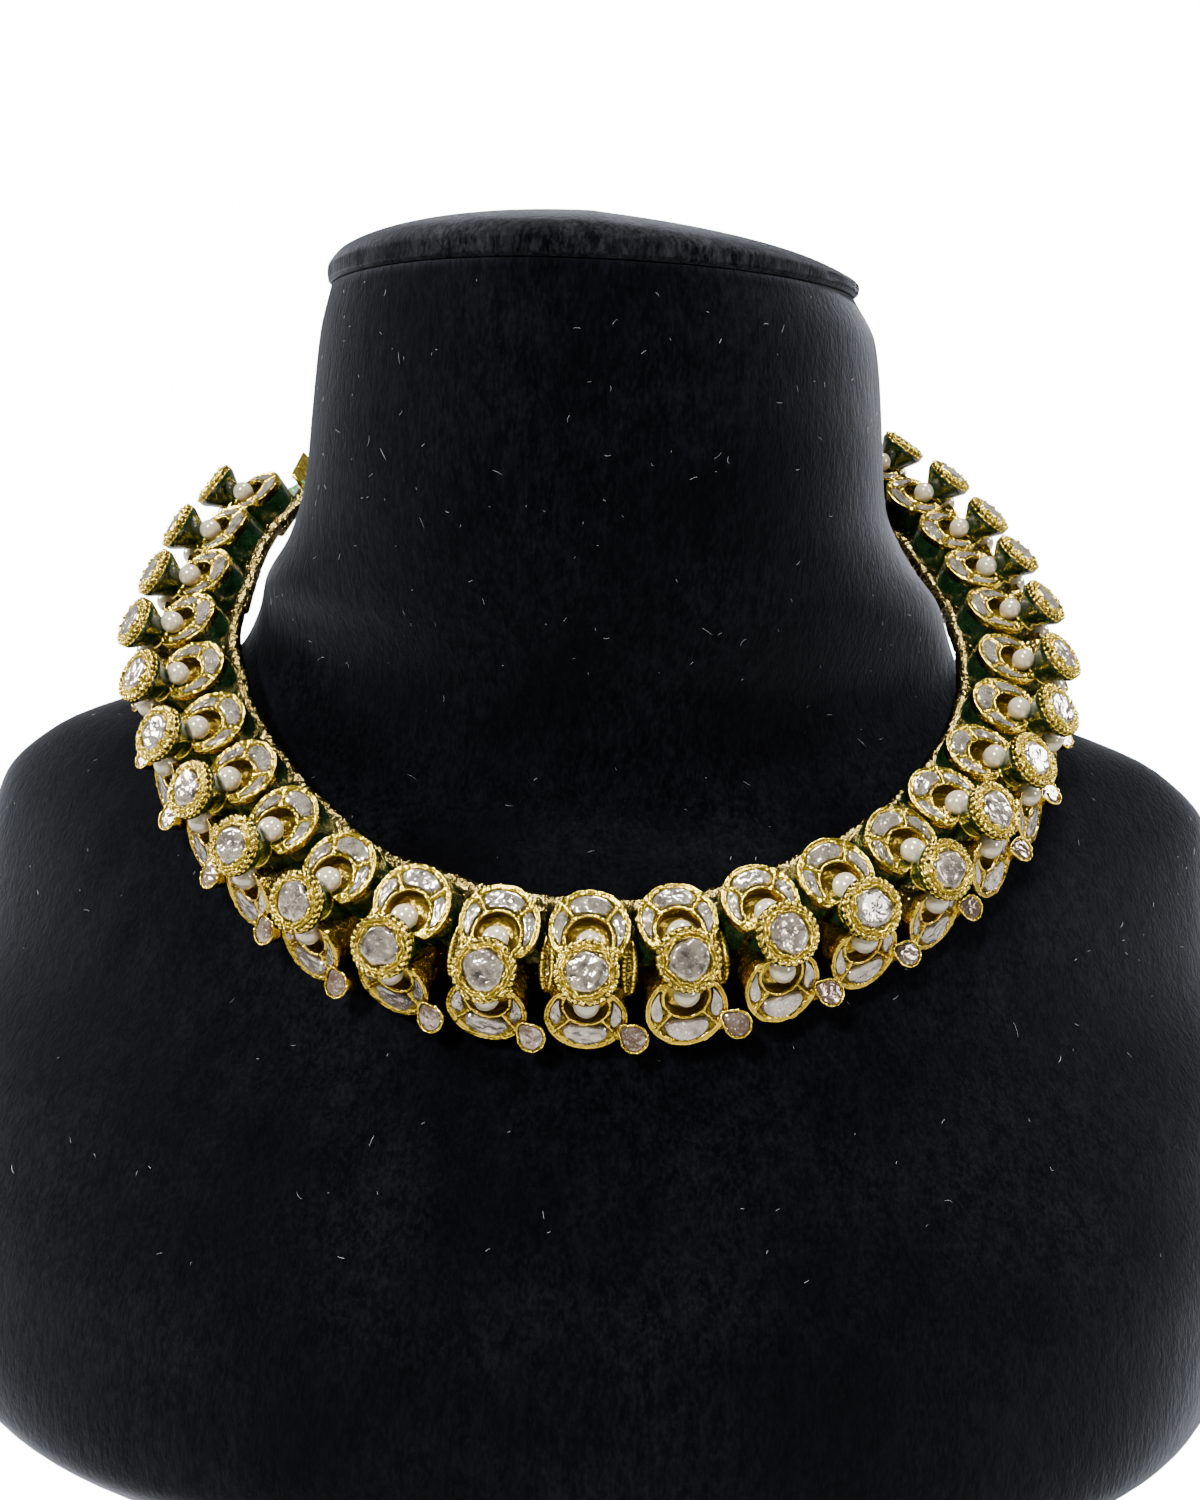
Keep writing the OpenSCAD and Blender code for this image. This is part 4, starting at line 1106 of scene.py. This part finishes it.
def clasp_shape():
    """The clasp: a profile with two collars, a waist and fluted ends, carried round its axis."""
    s, a = np.linspace(0, 1, 64)[:, None], angles(48)
    x = (s - 0.5) * 10.96
    r = 1.15 + 1.15 * np.sqrt(np.clip(1 - (2 * s - 1) ** 6, 0, 1))
    r = np.minimum(r + 0.16 * (bell(np.abs(x) - 3.2, 0.35) + bell(np.abs(x) - 2.3, 0.3)), 2.48)
    fluted = np.clip(r + 0.07 * np.cos(12 * a) * smooth((np.abs(x) - 3.4) / 0.6), 0.2, 2.49)
    # marks: painted shade where the clasp narrows towards its ends, and on its end caps
    hollow = np.clip((2.3 - r) / 0.8, 0, 0.6)
    rings = surface((x, fluted * np.sin(a), fluted * np.cos(a)), hollow, round_columns=True)
    return repeat(capped(rings, 48, [[x[0, 0], 0, 0], [x[-1, 0], 0, 0]], 0.6), on_chain(CLASP_AT)[None])


# Operators

class NECKLACE_OT_bust(bpy.types.Operator):
    """Makes the velvet bust and the lint that lies on it"""

    bl_idname = "necklace.bust"
    bl_label = "Bust"

    def execute(self, context):
        piece("velvet_bust", bust_shape(), "velvet", "velvet", ["bust"])
        piece("velvet_lint", lint_shape(), "lint", "velvet")
        return {"FINISHED"}


class NECKLACE_OT_cap(bpy.types.Operator):
    """Makes the padded cap on the neck"""

    bl_idname = "necklace.cap"
    bl_label = "Padded cap"

    def execute(self, context):
        cap = piece("padded_cap", cap_shape(), "cap velvet", "velvet", ["bust_lid"])
        return {"FINISHED"}


class NECKLACE_OT_links(bpy.types.Operator):
    """Gives the soldered links their gold, and puts the enamel and the linings on them"""

    bl_idname = "necklace.links"
    bl_label = "Links"

    def execute(self, context):
        for name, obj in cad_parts.items():
            if name.startswith(("link_", "end_")):
                obj.data.materials.clear()
                obj.data.materials.append(material("link gold"))
        piece("wall_enamel", repeat(wall_enamel(), UPPER_AT), "green enamel")
        piece("hole_linings", joined([repeat(hole_lining(s), places) for s, places in SHOES]), "lining")
        return {"FINISHED"}


class NECKLACE_OT_foil_faces(bpy.types.Operator):
    """Makes the pressed foil faces of the upper and lower horseshoes"""

    bl_idname = "necklace.foil_faces"
    bl_label = "Foil faces"

    def execute(self, context):
        for row, (s, places), seed in zip(("upper", "lower"), SHOES, (41, 42)):
            piece(row + "_foil", repeat(shoe_face(s, seed), places), row + " gold")
        return {"FINISHED"}


class NECKLACE_OT_stones(bpy.types.Operator):
    """Makes the flat foil-backed stones of both rows"""

    bl_idname = "necklace.stones"
    bl_label = "Stones"

    def execute(self, context):
        for row, (s, places), look, seed, side_round, crest_round in (
            ("upper", SHOES[0], "pale polki", 51, 3.0, 4.0),
            ("lower", SHOES[1], "rose polki", 52, 2.0, 2.1),
        ):
            shapes = shoe_stones(s, seed, side_round, crest_round)
            stones = joined([repeat(shape, places) for shape in shapes])
            piece(row + "_polki", stones, look, "stone", [row + "_stones"])
        return {"FINISHED"}


class NECKLACE_OT_crowns(bpy.types.Operator):
    """Makes the raised collets' foil, ropes, enamel and stones"""

    bl_idname = "necklace.crowns"
    bl_label = "Raised collets"

    def execute(self, context):
        piece("crown_foil", repeat(crown_foil(), CROWN_AT), "rope gold")
        rope = mm("rope")
        ropes = []
        for radius, wire, height, twist in ((4.36, rope * 1.1, 10.75, 27), (4.5, rope * 0.75, 10.1, -27)):
            points, faces, marks = rope_ring(radius, wire, 168, 7, twist, wire * 0.7, 1, height)
            # strengthened groove marks: painted shade between the rope's strands
            ropes.append(repeat((points, faces, np.clip(1.6 * marks - 0.1, 0, 1)), CROWN_AT))
        piece("crown_ropes", joined(ropes), "rope gold")
        r = np.array([3.8, 3.2, 2.6, 2.57, 2.7, 3.74, 4.62, 4.76, 4.77])
        z = np.array([-3.9, 0.1, 4.2, 6.1, 6.28, 7.9, 9.25, 9.5, 9.95])
        a = angles(48)[:, None]
        wall = surface((r * np.cos(a), r * np.sin(a), z), round_rows=True)
        piece("crown_enamel", repeat(wall, CROWN_AT), "green enamel")
        piece("waist_ropes", repeat(rope_ring(2.6, 0.3, 54, 6, 18, 0.12, 2, 5.2), CROWN_AT), "rope gold")
        piece("crown_polki", repeat(crown_stone(), CROWN_AT), "crown polki", "stone", ["crown_stones"])
        return {"FINISHED"}


class NECKLACE_OT_pearls(bpy.types.Operator):
    """Makes the pearls of both rows"""

    bl_idname = "necklace.pearls"
    bl_label = "Pearls"

    def execute(self, context):
        for row, (s, places), seed in zip(("upper", "lower"), SHOES, (61, 62)):
            at = places @ shift(0, -(s["crest"] + s["hole"] / 2) - 0.8, 0.4)
            piece(row + "_row_pearls", repeat(pearl_shape(seed), at), "pearl", "pearl", [row + "_pearls"])
        return {"FINISHED"}


class NECKLACE_OT_ribs(bpy.types.Operator):
    """Makes the granulated ribs, the scalloped edges, the rail's skin and the small drops"""

    bl_idname = "necklace.ribs"
    bl_label = "Ribs, rail and drops"

    def execute(self, context):
        piece("rib_ridges", rib_ridges(), "rope gold")
        piece("rib_granules", rib_granules(), "rope gold")
        piece("rail_band", rail_band(), "link gold")
        piece("recess_enamel", repeat(recess(), LINKS), "green enamel")
        piece("scallop_beads", repeat(scallop(), LINKS), "link gold")
        piece("cusps", repeat(cusps(), LINKS), "link gold")
        piece("drop_cups", repeat(drop_cup(), DROPS_AT), "upper gold")
        piece("drop_polki", repeat(drop_stone(), DROPS_AT), "drop polki", "stone")
        return {"FINISHED"}


class NECKLACE_OT_ends(bpy.types.Operator):
    """Makes the end pieces' enamel and beads, the chain and the clasp"""

    bl_idname = "necklace.ends"
    bl_label = "Ends, chain and clasp"

    def execute(self, context):
        piece("end_enamel", at_ends(end_panel()), "flecked enamel")
        piece("end_flaps", at_ends(end_flap()), "upper gold")
        piece("end_granules", end_beads(), "rope gold")
        for side, start, stop in (
            ("right", CHAIN_FROM, CLASP_AT - CLASP_TURN), ("left", CLASP_AT + CLASP_TURN, CHAIN_TO),
        ):
            name = "chain_" + side
            piece(name + "_rings", chain_shape(start, stop), "chain gold", "gold", [name])
        piece("fluted_clasp", clasp_shape(), "chain gold", "gold", ["clasp"])
        return {"FINISHED"}


class NECKLACE_OT_stage(bpy.types.Operator):
    """Makes the floor, the backdrop, the lights and the camera"""

    bl_idname = "necklace.stage"
    bl_label = "Stage"

    def execute(self, context):
        link = context.scene.collection.objects.link
        # The backdrop: a floor that bends up into a wall, seen bright by the camera alone
        bend = np.linspace(0, np.pi / 2, 24)
        y = np.r_[-1500, 900, 900 + 500 * np.sin(bend), 1400]
        z = np.r_[0, 0, 500 - 500 * np.cos(bend), 2600] - 0.3
        points, faces, _ = surface((np.array([[-2500], [2500]]), y, z))
        mesh = bpy.data.meshes.new("sweep")
        mesh.from_pydata((points * 0.001).tolist(), [], faces[0].tolist())
        mesh.shade_smooth()
        sweep = bpy.data.objects.new("sweep", mesh)
        link(sweep)
        paper = bpy.data.materials.new("Paper")
        paper.use_nodes = True
        tree = paper.node_tree
        bsdf = tree.nodes["Principled BSDF"]
        where = node(tree, "ShaderNodeTexCoord").outputs["Object"]
        light, dark = ([k * v for v in context.scene.necklace_colours.floor] for k in (0.5, 0.48))
        put(tree, bsdf.inputs["Base Color"], mixed(tree, noise(tree, where, 3), light, dark))
        put(tree, bsdf.inputs["Roughness"], 0.9)
        glow = node(tree, "ShaderNodeEmission", Strength=GLOW)
        seen = node(tree, "ShaderNodeLightPath").outputs["Is Camera Ray"]
        both = node(tree, "ShaderNodeMixShader", seen, bsdf.outputs[0], glow.outputs[0])
        put(tree, tree.nodes["Material Output"].inputs["Surface"], both.outputs[0])
        mesh.materials.append(paper)

        world = bpy.data.worlds.new("Studio")
        world.use_nodes = True
        tree = world.node_tree
        sky = tree.nodes["Background"]
        put(tree, sky.inputs[0], (1, 1, 1))
        seen = node(tree, "ShaderNodeLightPath").outputs["Is Camera Ray"]
        put(tree, sky.inputs[1], maths(tree, "MULTIPLY_ADD", seen, GLOW, 0.12))
        context.scene.world = world
        for name, at, aim, size, power in (
            ("Key", (-0.4, -0.9, 0.95), 0.12, 0.15, 32), ("Fill", (0.85, -0.65, 0.5), 0.12, 0.2, 5),
            ("Top", (0.15, 0.05, 1.2), 0.1, 0.22, 20), ("Left strip", (-0.9, 0.1, 0.5), 0.15, 0.2, 20),
            ("Right strip", (0.9, 0.2, 0.6), 0.15, 0.2, 10),
        ):
            lamp = bpy.data.lights.new(name, "AREA")
            lamp.shape, lamp.size, lamp.energy = "SQUARE", size, power
            obj = bpy.data.objects.new(name, lamp)
            link(obj)
            way = Vector((0, 0, aim)) - Vector(at)
            obj.matrix_world = Matrix.Translation(at) @ way.to_track_quat("-Z", "Y").to_matrix().to_4x4()

        lens = bpy.data.cameras.new("Camera")
        lens.lens, lens.sensor_width, lens.sensor_height = 31.2, 36, 36
        lens.sensor_fit, lens.clip_start = "AUTO", 0.005
        camera = bpy.data.objects.new("Camera", lens)
        link(camera)
        at = (Vector(LOOP_MID) + Vector((0.31, -246.38, 39.55))) * 0.001
        back = -Vector((0, 0.96753, -0.25275)).normalized()
        turned = Matrix((Vector((1, 0, 0)), back.cross((1, 0, 0)), back)).transposed().to_4x4()
        camera.matrix_world = Matrix.Translation(at) @ turned @ Matrix.Rotation(math.radians(2.52), 4, "Z")
        context.scene.camera = camera
        return {"FINISHED"}


class NECKLACE_PT_panel(bpy.types.Panel):
    """The necklace's pieces and settings in the sidebar"""

    bl_label = "Necklace"
    bl_idname = "NECKLACE_PT_panel"
    bl_space_type = "VIEW_3D"
    bl_region_type = "UI"
    bl_category = "Necklace"

    def draw(self, context):
        for operator in OPERATORS:
            self.layout.operator(operator.bl_idname)
        for settings in (context.scene.necklace_sizes, context.scene.necklace_colours):
            for key in settings.__annotations__:
                self.layout.prop(settings, key)


OPERATORS = (
    NECKLACE_OT_stage, NECKLACE_OT_bust, NECKLACE_OT_cap, NECKLACE_OT_links, NECKLACE_OT_foil_faces,
    NECKLACE_OT_stones, NECKLACE_OT_crowns, NECKLACE_OT_pearls, NECKLACE_OT_ribs, NECKLACE_OT_ends,
)
CLASSES = (NecklaceSizes, NecklaceColours, *OPERATORS, NECKLACE_PT_panel)


def register():
    """Registers the settings, the operators and the panel."""
    for cls in CLASSES:
        bpy.utils.register_class(cls)
    bpy.types.Scene.necklace_sizes = bpy.props.PointerProperty(type=NecklaceSizes)
    bpy.types.Scene.necklace_colours = bpy.props.PointerProperty(type=NecklaceColours)


def unregister():
    """Takes them away again."""
    del bpy.types.Scene.necklace_sizes, bpy.types.Scene.necklace_colours
    for cls in reversed(CLASSES):
        bpy.utils.unregister_class(cls)


def main():
    """Makes the whole necklace."""
    register()
    for operator in OPERATORS:
        getattr(bpy.ops.necklace, operator.bl_idname.split(".")[1])()
    bpy.context.view_layer.update()


if __name__ == "__main__":
    main()
